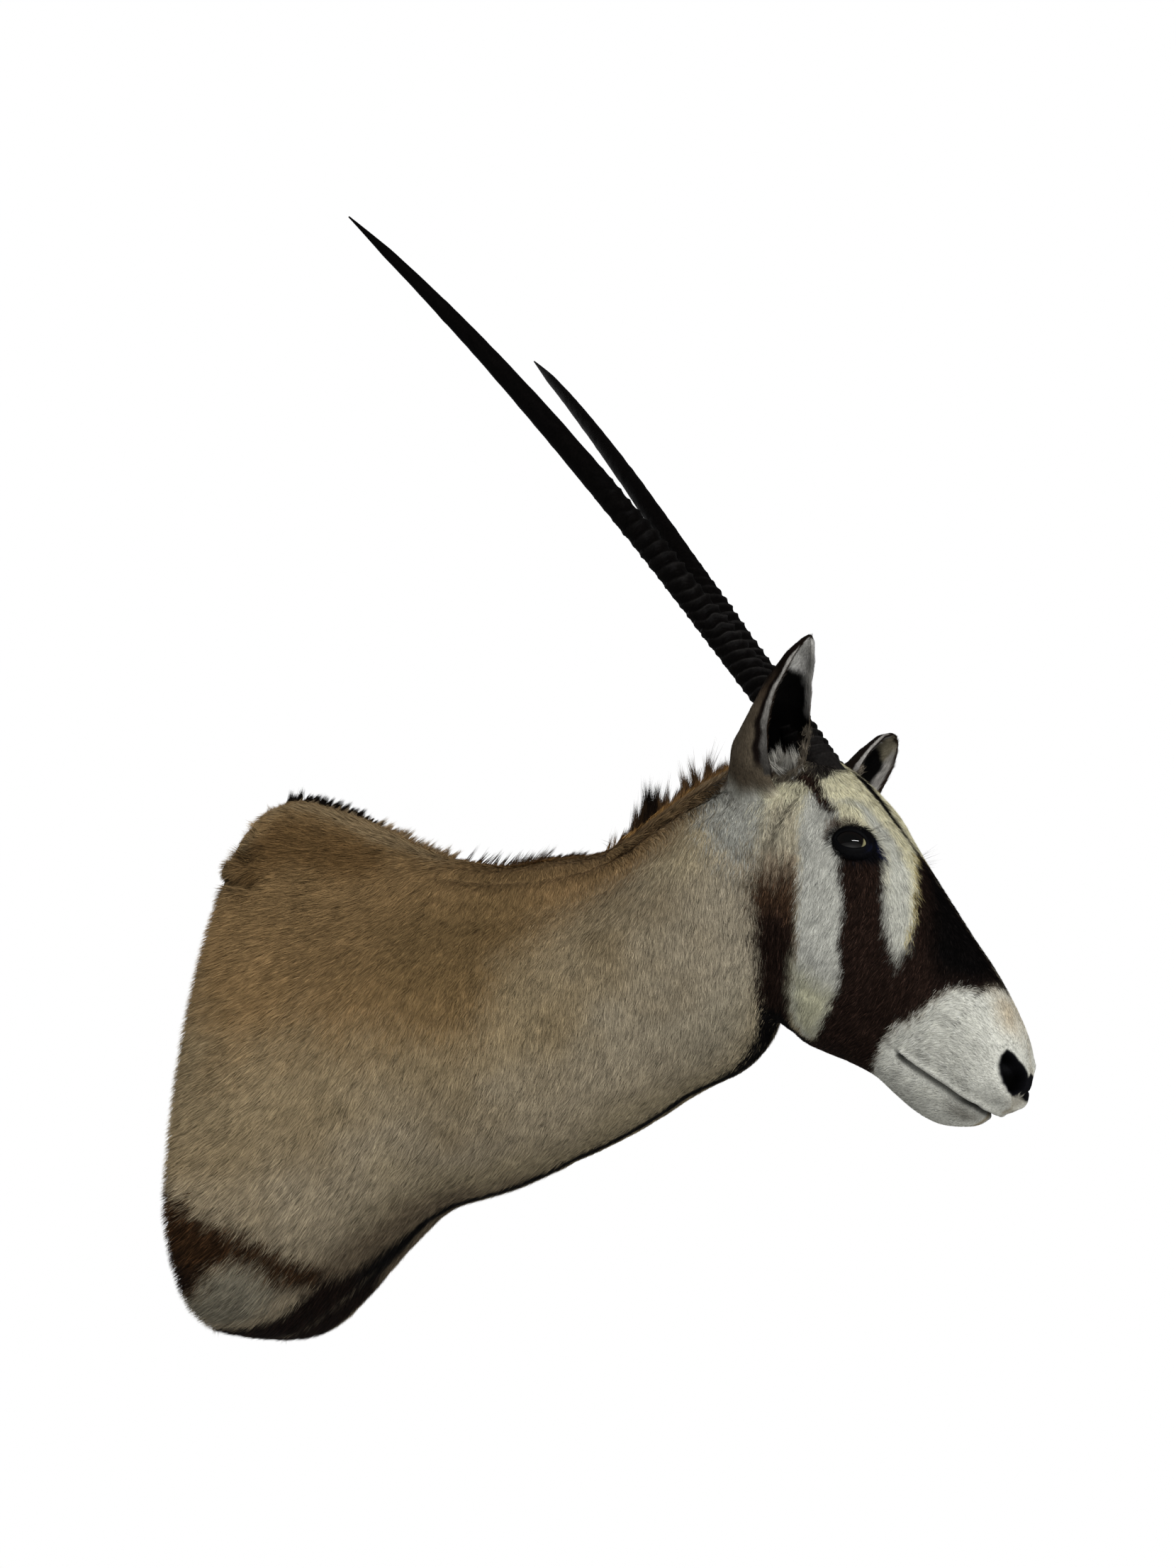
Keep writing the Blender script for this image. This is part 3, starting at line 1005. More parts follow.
def skin_near(offsets):
    """The skin's point, place and fold under each pair of offsets from the eye."""
    known, points, places = LID_CHART
    away = ((offsets[:, None, :] - known[None]) ** 2).sum(axis=-1)
    weight = np.exp(-(away - away.min(axis=1, keepdims=True)) / (2 * 0.0008 ** 2))
    weight /= weight.sum(axis=1, keepdims=True)
    return weight @ points, weight @ places


LID_CHART = lid_chart()
# From the lids' edge over the ball: how far round it in radians, and how far off it.
LID_RIM = [(0.0, -0.0012), (0.0, 0.0003), (0.02, 0.0010), (0.07, 0.0016), (0.15, 0.0019),
           (0.26, 0.0018), (0.38, 0.0015)]
LID_COLUMNS = 112
BALL_COLUMNS, BALL_ROWS = 64, 32
PUPIL_WIDE, PUPIL_TALL, IRIS_EDGE = 0.50, 0.26, 0.72        # half sizes in radians round the ball
IRIS_BROWN, PUPIL_BLACK = (0.0020, 0.0011, 0.0008), (0.0008, 0.0008, 0.0008)
CORNER_WHITE = (0.26, 0.24, 0.13)
# Hairs about the lids: how many, bearing on the eye from and to, length, width, row of the lid,
# how much farther forward they lean, colour.
LASH_SHARE = max(QUICK, 0.6)
LASHES = [(int(150 * LASH_SHARE), 0.10, 2.9, 0.0065, 0.00022, 4, 0.0, BLACK),
          (int(90 * LASH_SHARE), 2.1, 3.6, 0.0100, 0.00028, 9, 0.0, BROWN),
          (26, 0.25, 1.15, 0.0240, 0.00020, 9, 0.7, BLACK)]


def build_ball(name, flip):
    """The glass eye, turned about its own outward axis."""
    angle = np.linspace(0, math.pi, BALL_ROWS + 1)[:, None]
    turn = np.linspace(0, 2 * math.pi, BALL_COLUMNS, endpoint=False)[None, :]
    ball = (OUTWARD * np.cos(angle)[..., None]
            + (FORWARD * np.cos(turn)[..., None] + UPWARD * np.sin(turn)[..., None])
            * np.sin(angle)[..., None])
    bulge = 1 + 0.05 * bell(angle / 0.5)[..., None]
    points = placed((EYE_MIDDLE + EYE_RADIUS * 0.985 * ball * bulge) * flip)
    pupil = np.hypot(angle * np.cos(turn) / PUPIL_WIDE, angle * np.sin(turn) / PUPIL_TALL)
    iris = angle / IRIS_EDGE * np.ones_like(turn)
    colour = mixed(np.broadcast_to(IRIS_BROWN, (*pupil.shape, 3)), PUPIL_BLACK,
                   smoothstep((1.1 - pupil) / 0.2))
    colour = mixed(colour, PUPIL_BLACK, smoothstep((iris - 0.9) / 0.15))
    corner = smoothstep((angle * np.cos(turn) - 0.70) / 0.05) * smoothstep(
        (0.36 - np.abs(angle * np.sin(turn) + 0.04)) / 0.06)
    colour = mixed(colour, CORNER_WHITE, corner)
    surface = Surface(points, iris, iris, iris, True)
    eye = mesh_object(f"eye_glass_{name}", points.reshape(-1, 3), surface.faces(), GLASS,
                      colour.reshape(-1, 3))
    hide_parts(f"eye_{name}")


def build_lids(name, side, flip):
    """The lids, from the slit's edge over the ball to the skin: surface and share of the way."""
    turn = np.linspace(0, 2 * math.pi, LID_COLUMNS, endpoint=False)
    cosine, sine = np.cos(turn), np.sin(turn)
    along = np.where(cosine > 0, 0.93, 0.86) * cosine
    over = np.where(sine > 0, 0.44, 0.42) * np.sign(sine) * np.abs(sine) ** 1.25
    edge_angle, bearing = np.hypot(along, over), np.arctan2(over, along)
    around = FORWARD * np.cos(bearing)[:, None] + UPWARD * np.sin(bearing)[:, None]
    rings = []
    for further, thick in LID_RIM:
        open_angle = (edge_angle + further)[:, None]
        rings.append(EYE_MIDDLE + (EYE_RADIUS + thick) * (
            OUTWARD * np.cos(open_angle) + around * np.sin(open_angle)))
    front, rear, tall = EYE_REACH
    ends = np.stack([np.where(cosine > 0, front, rear) * cosine, tall * sine], axis=-1) * 1.06
    target, _ = skin_near(ends)
    target = target - OUTWARD * 0.0012
    last = rings[-1]
    level = last + tangent(target - last, OUTWARD) * 0.55 + OUTWARD * 0.0004
    for part in np.linspace(0, 1, 9)[1:]:
        rings.append((1 - part) ** 2 * last + 2 * part * (1 - part) * level + part ** 2 * target)
    local = np.array(rings)
    shape = local.shape[:2]
    _, where = skin_near(np.stack(eye_offsets(local), axis=-1).reshape(-1, 2))
    place, fold = where[:, 0].reshape(shape), where[:, 1].reshape(shape)
    share = np.arange(len(local))[:, None] / (len(local) - 1) * np.ones(len(turn))
    wet = smoothstep((0.50 - share) / 0.1)
    colour = coat(place, fold, local) * 0.6
    colour = mixed(colour, SKIN_BLACK * 0.35, np.maximum(wet, 0.3))
    offsets = (np.stack(eye_offsets(local), axis=-1) - (0.0225, -0.006)) / (0.005, 0.010)
    blue = np.exp(-(offsets ** 2).sum(axis=-1))
    colour = mixed(colour, (0.006, 0.009, 0.032), 0.85 * blue)
    local = local * flip
    surface = Surface(placed(local), place, fold, np.full(shape, float(side)), True, local)
    lid = mesh_object(f"eyelid_{name}", surface.points.reshape(-1, 3),
                      surface.faces(flip=side > 0), BARE, colour.reshape(-1, 3))
    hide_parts("cape")
    return surface, share


def build_eye(side):
    """The ball and the lids, with short hair on them, lashes and feelers."""
    name = "right" if side < 0 else "left"
    flip = np.array((side, 1, 1))
    build_ball(name, flip)
    surface, share = build_lids(name, side, flip)
    middle = placed(EYE_MIDDLE * flip)
    if ((surface.points - middle) * surface.normals).sum() < 0:
        surface.normals = -surface.normals
    spot = surface.scattered(int(5200 * QUICK), smoothstep((share - 0.42) / 0.1))
    number = len(spot["place"])
    colour = coat(spot["place"], spot["fold"], spot["local"], 0.0012)
    colour = scaled(colour, np.clip(1 + 0.25 * RANDOM.normal(0, 1, number), 0.3, 1.6))
    way = unit(spot["point"] - middle) + RANDOM.normal(0, 0.35, (number, 3)) + (0, 0, -0.25)
    hairs(f"eyelid_hair_{name}", spot, way, RANDOM.uniform(0.0020, 0.0040, number),
          np.full(number, 0.0003), np.full(number, 0.16), colour * 0.85, colour * 1.05)
    outward, forward, upward = (placed_way(way * flip) for way in (OUTWARD, FORWARD, UPWARD))
    for step, (amount, low, high, size, width, row, ahead, colour) in enumerate(LASHES):
        bearing = RANDOM.uniform(low, high, amount)
        column = (bearing / (2 * math.pi) * LID_COLUMNS).astype(int) % LID_COLUMNS
        lean = ((forward * np.cos(bearing)[:, None] + upward * np.sin(bearing)[:, None])
                + outward * 0.35 + RANDOM.normal(0, 0.16, (amount, 3))) + forward * ahead
        tint = np.tile(colour, (amount, 1))
        hairs(f"lashes_{name}_{step + 1}",
              {"point": surface.points[row, column], "normal": random_flat(lean)}, lean,
              size * RANDOM.uniform(0.6, 1.15, amount), np.full(amount, width),
              np.zeros(amount), tint, tint * 2, segments=3, spin=1.5)


GLASS = coat_material("eye glass", 0.045, 300.0, 0.9, 1.1, 0.0, Specular_IOR_Level=0.6)
for side in (-1, 1):
    build_eye(side)

# ---------------------------------------------------------------- ears


EAR_ROWS, EAR_COLUMNS = 84, 96
EAR_START = -0.10                          # the part at which the rows of its two faces begin
EAR_HAIRS, HOLLOW_HAIRS = 15000, 9000


def ear_root(ear, root, hide):
    """Rows that widen from the ear's back to the skin of the head, skin first."""
    start = int(np.argmax(ear.place[:, 0] >= EAR_JOIN))
    ring, along = ear.points[start], ear.along[start]
    turn = math.pi * ear.fold[start][:, None]
    spread = -ear.across[start] * np.sin(turn) - ear.opening[start] * np.cos(turn)
    flare = 0.038 + 0.036 * np.clip(spread[:, 1:2], 0, 1)
    target = placed(root) + spread * flare + along * 0.004
    skin = hide.points.reshape(-1, 3)
    nearest = np.array([np.argmin(((skin - spot) ** 2).sum(axis=1)) for spot in target])
    normal = hide.normals.reshape(-1, 3)[nearest]
    foot = skin[nearest] - normal * 0.0020
    colour = hide.colour.reshape(-1, 3)[nearest]
    for _ in range(4):
        foot[1:-1] = (foot[:-2] + 2 * foot[1:-1] + foot[2:]) / 4
        colour[1:-1] = (colour[:-2] + 2 * colour[1:-1] + colour[2:]) / 4
    gap = np.linalg.norm(foot - ring, axis=1)[:, None]
    outward = unit(tangent(foot - placed(root), normal)) * gap * 0.9
    part = np.linspace(1, 0, start, endpoint=False)[:, None, None]
    rows = ((1 + 2 * part) * (1 - part) ** 2 * ring + part * (1 - part) ** 2 * -along * gap
            + part ** 2 * (3 - 2 * part) * foot + part ** 2 * (part - 1) * outward)
    return rows, colour


def ear_surface(side, inner, hide):
    """One face of an ear: place runs from root to tip, fold from the front margin to the rear."""
    root, tip, looks = np.array(EAR_LINES[side])
    middle = (root + tip) / 2 + EAR_BOW
    part = np.linspace(EAR_START, 1, EAR_ROWS)[:, None]
    inside = np.clip(part, 0, 1)
    centre = (1 - part) ** 2 * root + 2 * part * (1 - part) * middle + part ** 2 * tip
    along = unit((1 - part) * (middle - root) + part * (tip - middle))
    opening = unit(tangent(np.broadcast_to(looks, along.shape), along))
    across = np.cross(along, opening)
    radius = between(EAR_RADII[side], inside)
    sweep = np.linspace(-1, 1, EAR_COLUMNS)[None, :]
    front, rear = (np.radians(between(table, inside)) for table in EAR_WRAP[side])
    angle = np.where(sweep < 0, front, rear) * sweep
    edge = smoothstep((np.abs(sweep) - 0.90) / 0.10)
    thick = np.minimum(0.0036, radius * 0.8) * np.sqrt(np.clip(1 - edge * 0.92, 0, 1))
    size = radius - thick if inner else radius
    size = size * (np.sqrt(np.clip(part / 0.14, 0, 1)) if inner else 1)
    size = size * (1 + 0.02 * np.sin(7 * sweep + 9 * part))
    depth = 0.85 + (between(EAR_DEPTH, inside) - 0.85) * (0.5 + 0.5 * np.cos(angle))
    wide = 1 + (between(EAR_FRONT, inside) - 1) * (sweep < 0) * (side < 0)
    points = centre[:, None, :] - size[..., None] * (
        (wide * np.sin(angle))[..., None] * across[:, None, :]
        + (depth * np.cos(angle))[..., None] * opening[:, None, :])
    flip = np.array((side, 1, 1))
    points = points * flip
    shape = np.ones((EAR_ROWS, EAR_COLUMNS))
    made = Surface(placed(points), part * shape, sweep * shape, shape, False, points)
    made.along, made.across, made.opening = (placed_way(way * flip)
                                             for way in (along, across, opening))
    if not inner:
        root, made.foot = ear_root(made, root * flip, hide)
        made.points[:len(root)] = root
        made.place[:len(root)] = np.linspace(EAR_FOOT, EAR_JOIN, len(root))[:, None]
        made.normals = grid_normals(made.points, False)
    return made


def ear_colour(part, sweep, inner, local, far):
    """The colour of one face; sweep runs from -1 on the front margin to 1 on the rear one."""
    patches = noise(local, 0.012, 4)
    edge = np.abs(sweep)
    grey = mixed(np.array((0.055, 0.051, 0.046)), (0.34, 0.325, 0.30),
                 smoothstep((part - (0.0 if far else 0.15)) / 0.6))
    grey = scaled(grey, 1 + 0.35 * noise(local, 0.004, 24))
    if inner:
        colour = np.broadcast_to((0.0022, 0.0020, 0.0018), (*part.shape, 3)).copy()
        low = smoothstep((0.36 - part) / 0.2) * smoothstep((-sweep - 0.35) / 0.3)
        colour = mixed(colour, (0.10, 0.072, 0.052), 0.8 * low)
        rear = smoothstep((sweep - (0.58 if far else 0.62) + 0.10 * patches) / 0.16)
        colour = colour + scaled(grey - colour, rear)
        front = smoothstep((-sweep - (0.60 if far else 0.64) + 0.08 * patches) / 0.16)
        front = front * smoothstep((part - (0.24 if far else 0.44) + 0.08 * patches) / 0.14)
        colour = mixed(colour, (0.36, 0.35, 0.33), front)
        top = smoothstep((part - (0.82 if far else 0.65) + 0.10 * patches) / 0.14)
        colour = mixed(colour, (0.26, 0.23, 0.16) if far else (0.62, 0.61, 0.58), top)
        colour = scaled(colour, 1 + 0.30 * patches)
        colour = mixed(colour, (0.028, 0.018, 0.012), smoothstep((sweep - 0.95) / 0.03))
        if far:
            colour = mixed(colour, (0.020, 0.012, 0.009), smoothstep((edge - 0.90) / 0.05)
                           * smoothstep((part - 0.3) / 0.2))
        return mixed(colour, (0.022, 0.014, 0.009), smoothstep((part - 0.968) / 0.015))
    colour = np.broadcast_to((0.135, 0.108, 0.075), (*part.shape, 3)).copy()
    colour = mixed(colour, (0.30, 0.285, 0.235), smoothstep((-0.05 - part + 0.07 * patches) / 0.30))
    colour = mixed(colour, (0.060, 0.040, 0.026), smoothstep((part - 0.35 + 0.1 * patches) / 0.25))
    rim = smoothstep((sweep - 0.77 + 0.05 * patches) / 0.07) * smoothstep((part - 0.10) / 0.10)
    colour = mixed(colour, (0.008, 0.005, 0.004), rim)
    colour = mixed(colour, (0.16, 0.14, 0.11), smoothstep((-sweep - 0.88) / 0.08)
                   * 0.6 * smoothstep((0.5 - part) / 0.2))
    dark = smoothstep((part - (0.20 if far else 0.56) + 0.07 * patches) / 0.16)
    colour = mixed(colour, (0.008, 0.005, 0.0035), dark)
    pale = smoothstep(((-sweep if far else sweep) - 0.885 + 0.05 * patches) / 0.05)
    pale = pale * smoothstep((0.93 - part) / 0.04) * smoothstep((part - 0.04) / 0.06)
    return colour + scaled(grey - colour, pale)


def foot_share(part):
    """How much of the head's own colour the ear's widened foot has."""
    return smoothstep((EAR_START - part) / 0.22)


def build_ear(side):
    """An ear as one closed mesh of two faces, with its hair and tufts."""
    name = "right" if side < 0 else "left"
    inner, outer = ear_surface(side, True, hide), ear_surface(side, False, hide)
    count = EAR_ROWS * EAR_COLUMNS
    points = np.vstack([outer.points.reshape(-1, 3), inner.points.reshape(-1, 3)])
    colours = [ear_colour(surface.place, surface.fold, surface is inner, surface.local, side > 0)
               for surface in (outer, inner)]
    colours[0] = mixed(colours[0], outer.foot[None], foot_share(outer.place))
    colours = np.vstack([colour.reshape(-1, 3) for colour in colours])
    faces = [outer.faces(flip=side < 0), outer.faces(flip=side > 0) + count]
    index = np.arange(count).reshape(EAR_ROWS, EAR_COLUMNS)
    for edge, way in ((index[:, 0], -1), (index[:, -1], 1), (index[0], 1), (index[-1], -1)):
        strip = band(edge, edge + count)
        faces.append(strip if way == side else strip[:, ::-1])
    ear = mesh_object(f"ear_{name}", points, np.vstack(faces), SKIN, colours)
    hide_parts("cape")
    for surface in (outer, inner):
        ear_hair(name, side, surface, surface is inner, outer.foot)
    ear_tuft(name, side, inner)


def ear_hair(name, side, surface, inside, foot):
    """The short hair on one face of an ear."""
    centre = surface.points.mean(axis=1, keepdims=True)
    away = ((surface.points - centre) * surface.normals)[EAR_ROWS // 2:].sum()
    if away * (-1 if inside else 1) < 0:
        surface.normals = -surface.normals
    shown = smoothstep((surface.place - (-0.02 if inside else EAR_FOOT)) / 0.05)
    if inside:
        shown = shown * (0.30 + smoothstep((np.abs(surface.fold) - 0.5) / 0.3)
                         + smoothstep((surface.place - 0.65) / 0.2))
    spot = surface.scattered(int((HOLLOW_HAIRS if inside else EAR_HAIRS) * QUICK), shown)
    part, sweep, number = spot["place"], spot["fold"], len(spot["place"])
    row = np.interp(part, surface.place[:, 0], np.arange(EAR_ROWS)).astype(int)
    column = np.clip((sweep + 1) / 2 * (EAR_COLUMNS - 1), 0, EAR_COLUMNS - 1).astype(int)
    way = unit(surface.points[np.minimum(row + 1, EAR_ROWS - 1), column]
               - surface.points[np.maximum(row - 1, 0), column])
    size = 0.0046 * RANDOM.uniform(0.6, 1.25, number)
    size = size * (1 - 0.5 * smoothstep((part - 0.8) / 0.2))
    rise = np.full(number, 0.12)
    if inside:
        way = way + unit(spot["point"] - surface.points.mean(axis=1)[row]) * 0.35
        margin = smoothstep((np.abs(sweep) - 0.6) / 0.3)
        size = size * (1 + 0.5 * margin)
        rise = 0.20 + 0.1 * margin
    colour = ear_colour(part, sweep, inside, spot["local"], side > 0)
    if not inside:
        colour = mixed(colour, foot[column], foot_share(part))
    colour = scaled(colour, RANDOM.uniform(0.6, 1.4, number))
    hairs(f"ear_hair_{name}_{'inner' if inside else 'outer'}", spot,
          way + RANDOM.normal(0, 0.14, (number, 3)), size, np.full(number, 0.0004), rise,
          colour * 0.85, colour * 1.1)


# Where the tufts before each ear stand on the head: (place, fold).
TUFT_SPOTS = np.array([(11.75, 56), (11.95, 53), (12.1, 50), (12.25, 47), (12.45, 49), (12.6, 47),
                       (12.75, 46), (12.9, 47), (12.2, 53), (12.5, 53), (12.8, 51), (13.05, 48)])
EAR_TUFTS = 26                             # before the hollow, and as many again up its margin
TUFT_TINT, FRINGE_TINT = np.array((0.60, 0.58, 0.52)), np.array((0.24, 0.205, 0.155))


def ear_tuft(name, side, inner):
    """The long pale hair before the ear's hollow, and the fringe up its front margin."""
    opening = inner.opening[0]
    roots, ways, sizes, tints = [], [], [], []
    for number in range(2 * EAR_TUFTS):
        fringe = number >= EAR_TUFTS
        if fringe:
            column = int(RANDOM.uniform(0.0, 0.05) * EAR_COLUMNS)
            row = inner.row_at(RANDOM.uniform(0.04, 0.44))
            root, along = inner.points[row, column], inner.along[row]
            aim = along + opening * RANDOM.uniform(0.1, 0.5) - inner.across[row] * 0.1
            size, tint = 0.010 * RANDOM.uniform(0.6, 1.1), FRINGE_TINT
        else:
            place, fold = TUFT_SPOTS[number % len(TUFT_SPOTS)] + RANDOM.normal(0, (0.08, 1.2))
            angle = fold if side < 0 else 180 - fold
            root = hide.points[hide.row_at(place), int(angle / 360 * HIDE_COLUMNS)]
            aim = (0, 0, 1.0) + opening * RANDOM.uniform(-0.1, 0.5)
            size, tint = 0.019 * RANDOM.uniform(0.45, 1.45), TUFT_TINT
        amount = max(int((60 if fringe else 85) * QUICK), 20)
        aim = unit(aim + RANDOM.normal(0, 0.24 if fringe else 0.50, 3))
        spread = RANDOM.normal(0, 0.0022, (amount, 3))
        roots.append(root + spread)
        ways.append(aim * size - spread * 0.8 + RANDOM.normal(0, 0.0016, (amount, 3)))
        sizes.append(size * RANDOM.uniform(0.5, 1.05, amount))
        tone = RANDOM.uniform(0.55, 1.25, amount) * RANDOM.uniform(0.45, 1.3)
        tints.append(scaled(tint, tone))
    roots, ways, sizes, tints = map(np.concatenate, (roots, ways, sizes, tints))
    tuft_hairs(f"ear_tuft_{name}", roots, ways, sizes, 0.00045, tints * 0.55, tints)


for side in (-1, 1):
    build_ear(side)

# ---------------------------------------------------------------- horns


def horn_frames(parts, side):
    """Centre, direction and two cross axes of the horn's line; below 0 it goes straight on."""
    curve = HORN_CURVE + LEFT_SHIFT * (side > 0)
    inside = np.maximum(parts, 0.0)[:, None]
    rest = 1 - inside
    weights = (rest ** 3, 3 * rest ** 2 * inside, 3 * rest * inside ** 2, inside ** 3)
    point = sum(weight * corner for weight, corner in zip(weights, curve))
    slope = unit(sum(weight * step for weight, step in zip(
        (rest ** 2, 2 * rest * inside, inside ** 2), np.diff(curve, axis=0))))
    point = point + np.minimum(parts, 0.0)[:, None] * slope
    across = unit(np.cross(slope, (0, 1, 0)))
    return point, slope, across, np.cross(slope, across)


RING_COUNT = 31
RING_START, RING_END = 0.012, 0.53         # parts of the horn between which it is ringed
RING_HEIGHTS = {-1: 0.0030, 1: 0.0019}
RING_PEAK = 0.70                           # where in its run a ring is highest
HORN_COLUMNS, RINGED_ROWS, SMOOTH_ROWS = 72, 620, 120
HORN_BLACK, HORN_WORN, HORN_FOOT = ((0.0019, 0.0015, 0.0014), (0.026, 0.024, 0.023),
                                    (0.020, 0.018, 0.017))


def build_horn(side):
    """A horn's sheath: rings that rise slowly and drop sharply, and a smooth upper half."""
    name = "right" if side < 0 else "left"
    parts = np.concatenate([np.linspace(-0.012, 0.55, RINGED_ROWS, endpoint=False),
                            np.linspace(0.55, 1.0, SMOOTH_ROWS)])
    point, _, across, other = horn_frames(parts, side)
    turn = np.linspace(0, 2 * math.pi, HORN_COLUMNS, endpoint=False)[None, :]
    radius = between(HORN_RADII, np.maximum(parts, 0))[:, None]
    part = parts[:, None]
    if side > 0:
        radius = radius * between(LEFT_SIZES, part)
    ways = (np.cos(turn)[..., None] * across[:, None, :]
            + np.sin(turn)[..., None] * other[:, None, :])
    front = 0.34 + 0.66 * smoothstep(0.5 + 0.55 * ways[..., 1] + 0.35 * ways[..., 2])
    spread = np.stack([np.cos(turn) * np.ones_like(radius) * 0.02,
                       np.sin(turn) * np.ones_like(radius) * 0.02,
                       part * 0.75 * np.ones_like(turn)], axis=-1) + side * 0.3
    waver = noise(spread * (1, 1, 0.4), 0.016, 6)
    run = (part - RING_START) / (RING_END - RING_START)
    run = RING_COUNT * run * (1.25 - 0.25 * run)
    run = run + 0.34 * waver + 0.5 * ways[..., 1]
    number = np.floor(run)
    phase = run - number
    ridge = np.where(phase < RING_PEAK, (phase / RING_PEAK) ** 3.0, ((1 - phase) / 0.30) ** 1.2)
    strength = (smoothstep((part - RING_START) / 0.02)
                * smoothstep((RING_END + 0.02 - 0.08 * (side > 0) - part) / 0.16))
    uneven = 0.75 + 0.4 * np.abs(np.sin(number * 2.7 + side)) + 0.25 * noise(spread, 0.012, 13)
    height = RING_HEIGHTS[side] * ridge * front * strength * uneven
    fine = (0.00030 * noise(spread * (1, 1, 3.0), 0.0045, 8) * strength
            + 0.00012 * noise(spread * (1, 1, 0.25), 0.0022, 8) + 0.0003 * noise(spread, 0.009, 9))
    size = radius * 0.985 + height - 0.0006 * strength + fine * smoothstep((1.0 - part) / 0.2)
    points = (point[:, None, :] + scaled(ways, size)) * np.array((side, 1, 1))
    tint = np.broadcast_to(HORN_BLACK, (*size.shape, 3)).copy()
    worn = 0.6 * ridge ** 2 * strength * front * smoothstep((0.5 - part) / 0.3)
    tint = mixed(tint, HORN_WORN, worn)
    tint = mixed(tint, HORN_FOOT, 0.5 * smoothstep((0.08 - part) / 0.08))
    tint = scaled(tint, 1 + 0.25 * noise(spread, 0.006, 11))
    surface = Surface(placed(points), run, run, run, True, points)
    grid = surface.points
    points = np.vstack([grid.reshape(-1, 3), grid[-1].mean(axis=0)[None],
                        grid[0].mean(axis=0)[None]])
    tints = np.vstack([tint.reshape(-1, 3), tint[-1, :1], tint[0, :1]])
    ring = np.arange(HORN_COLUMNS)
    top = fan((len(parts) - 1) * HORN_COLUMNS + ring, len(points) - 2)
    fans = np.vstack([top, fan(ring, len(points) - 1)[:, [1, 0, 2]]])
    quads = surface.faces()
    if side < 0:
        quads, fans = quads[:, ::-1], fans[:, ::-1]
    horn = mesh_object(f"horn_sheath_{name}", points, [quads, fans], KERATIN, tints)
    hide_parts(f"horn_{name}")


KERATIN = coat_material("horn keratin", 0.5, 420.0, 0.7, 1.35, 0.0005, Specular_IOR_Level=0.07)
for side in (-1, 1):
    build_horn(side)

# ---------------------------------------------------------------- the mane and longer tufts

# Tufts along the crest: from and to as places, how many tufts, hairs in each, height, radius of
# the root, lean forward, spread to each side, root colour, tip colour.
DARK = np.array((0.030, 0.018, 0.011))
TUFTS = [
    ((0.10, 1.45), 40, 60, 0.011, 0.0050, -0.5, 0.022, OCHRE, np.array((0.42, 0.35, 0.26))),
    ((1.42, 1.74), 7, 230, 0.018, 0.0042, 0.4, 0.005, DARK * 0.6, BLACK),
    ((1.90, 2.40), 11, 150, 0.014, 0.0038, 1.0, 0.005, DARK * 0.6, BLACK),
    ((2.45, 3.30), 16, 140, 0.014, 0.0036, 1.2, 0.006, DARK * 0.6, BLACK),
    ((3.25, 3.80), 9, 80, 0.010, 0.0032, 1.6, 0.006, DARK, DARK * 0.7),
    ((1.50, 5.30), 70, 36, 0.010, 0.0035, 1.3, 0.014, OCHRE, np.array((0.36, 0.29, 0.19))),
    ((3.70, 5.30), 26, 40, 0.014, 0.0030, 1.5, 0.010, OCHRE * 1.1, np.array((0.36, 0.28, 0.18))),
    ((5.58, 5.98), 5, 24, 0.022, 0.0024, 0.9, 0.005, UMBER, BLACK),
    ((6.08, 6.32), 4, 30, 0.018, 0.0024, 0.9, 0.005, UMBER, BLACK),
    ((6.36, 6.84), 8, 50, 0.023, 0.0030, 0.9, 0.005, UMBER, DARK),
    ((6.80, 7.42), 10, 90, 0.013, 0.0035, 1.8, 0.005, UMBER, DARK),
    ((5.40, 8.20), 60, 30, 0.007, 0.0040, 1.8, 0.010, OCHRE, UMBER * 1.6),
    ((7.94, 8.12), 3, 30, 0.019, 0.0020, 0.2, 0.003, OCHRE, UMBER),
    ((8.14, 8.18), 1, 3, 0.033, 0.0010, -2.6, 0.001, DARK, BLACK),
    ((8.08, 8.12), 1, 2, 0.024, 0.0010, -1.3, 0.001, DARK, BLACK),
    ((8.10, 8.50), 8, 110, 0.023, 0.0032, 0.35, 0.006, UMBER * 1.4, UMBER),
    ((8.45, 8.62), 3, 160, 0.033, 0.0034, 0.15, 0.004, UMBER, DARK),
    ((8.60, 8.80), 3, 330, 0.043, 0.0050, 0.05, 0.003, DARK * 0.6, BLACK),
    ((8.82, 9.22), 6, 110, 0.029, 0.0030, 0.15, 0.008, UMBER * 1.4, UMBER * 1.1),
    ((8.92, 9.04), 2, 6, 0.047, 0.0015, 0.10, 0.003, UMBER, DARK),
    ((9.22, 9.75), 8, 120, 0.027, 0.0034, 0.15, 0.008, UMBER * 1.4, UMBER * 1.2),
    ((9.75, 10.1), 4, 120, 0.031, 0.0030, 0.15, 0.006, UMBER * 1.4, UMBER),
    ((9.86, 9.96), 2, 10, 0.043, 0.0015, 0.10, 0.003, UMBER, DARK),
    ((10.1, 10.9), 11, 100, 0.018, 0.0036, 0.10, 0.008, UMBER * 1.6, UMBER * 1.2),
    ((8.60, 10.9), 46, 60, 0.016, 0.0050, 0.4, 0.016, OCHRE, UMBER * 2.6),
    ((8.40, 10.9), 60, 60, 0.010, 0.0050, 0.5, 0.020, OCHRE * 1.1, OCHRE * 1.3),
]
MANE_WIDTH = 0.00055


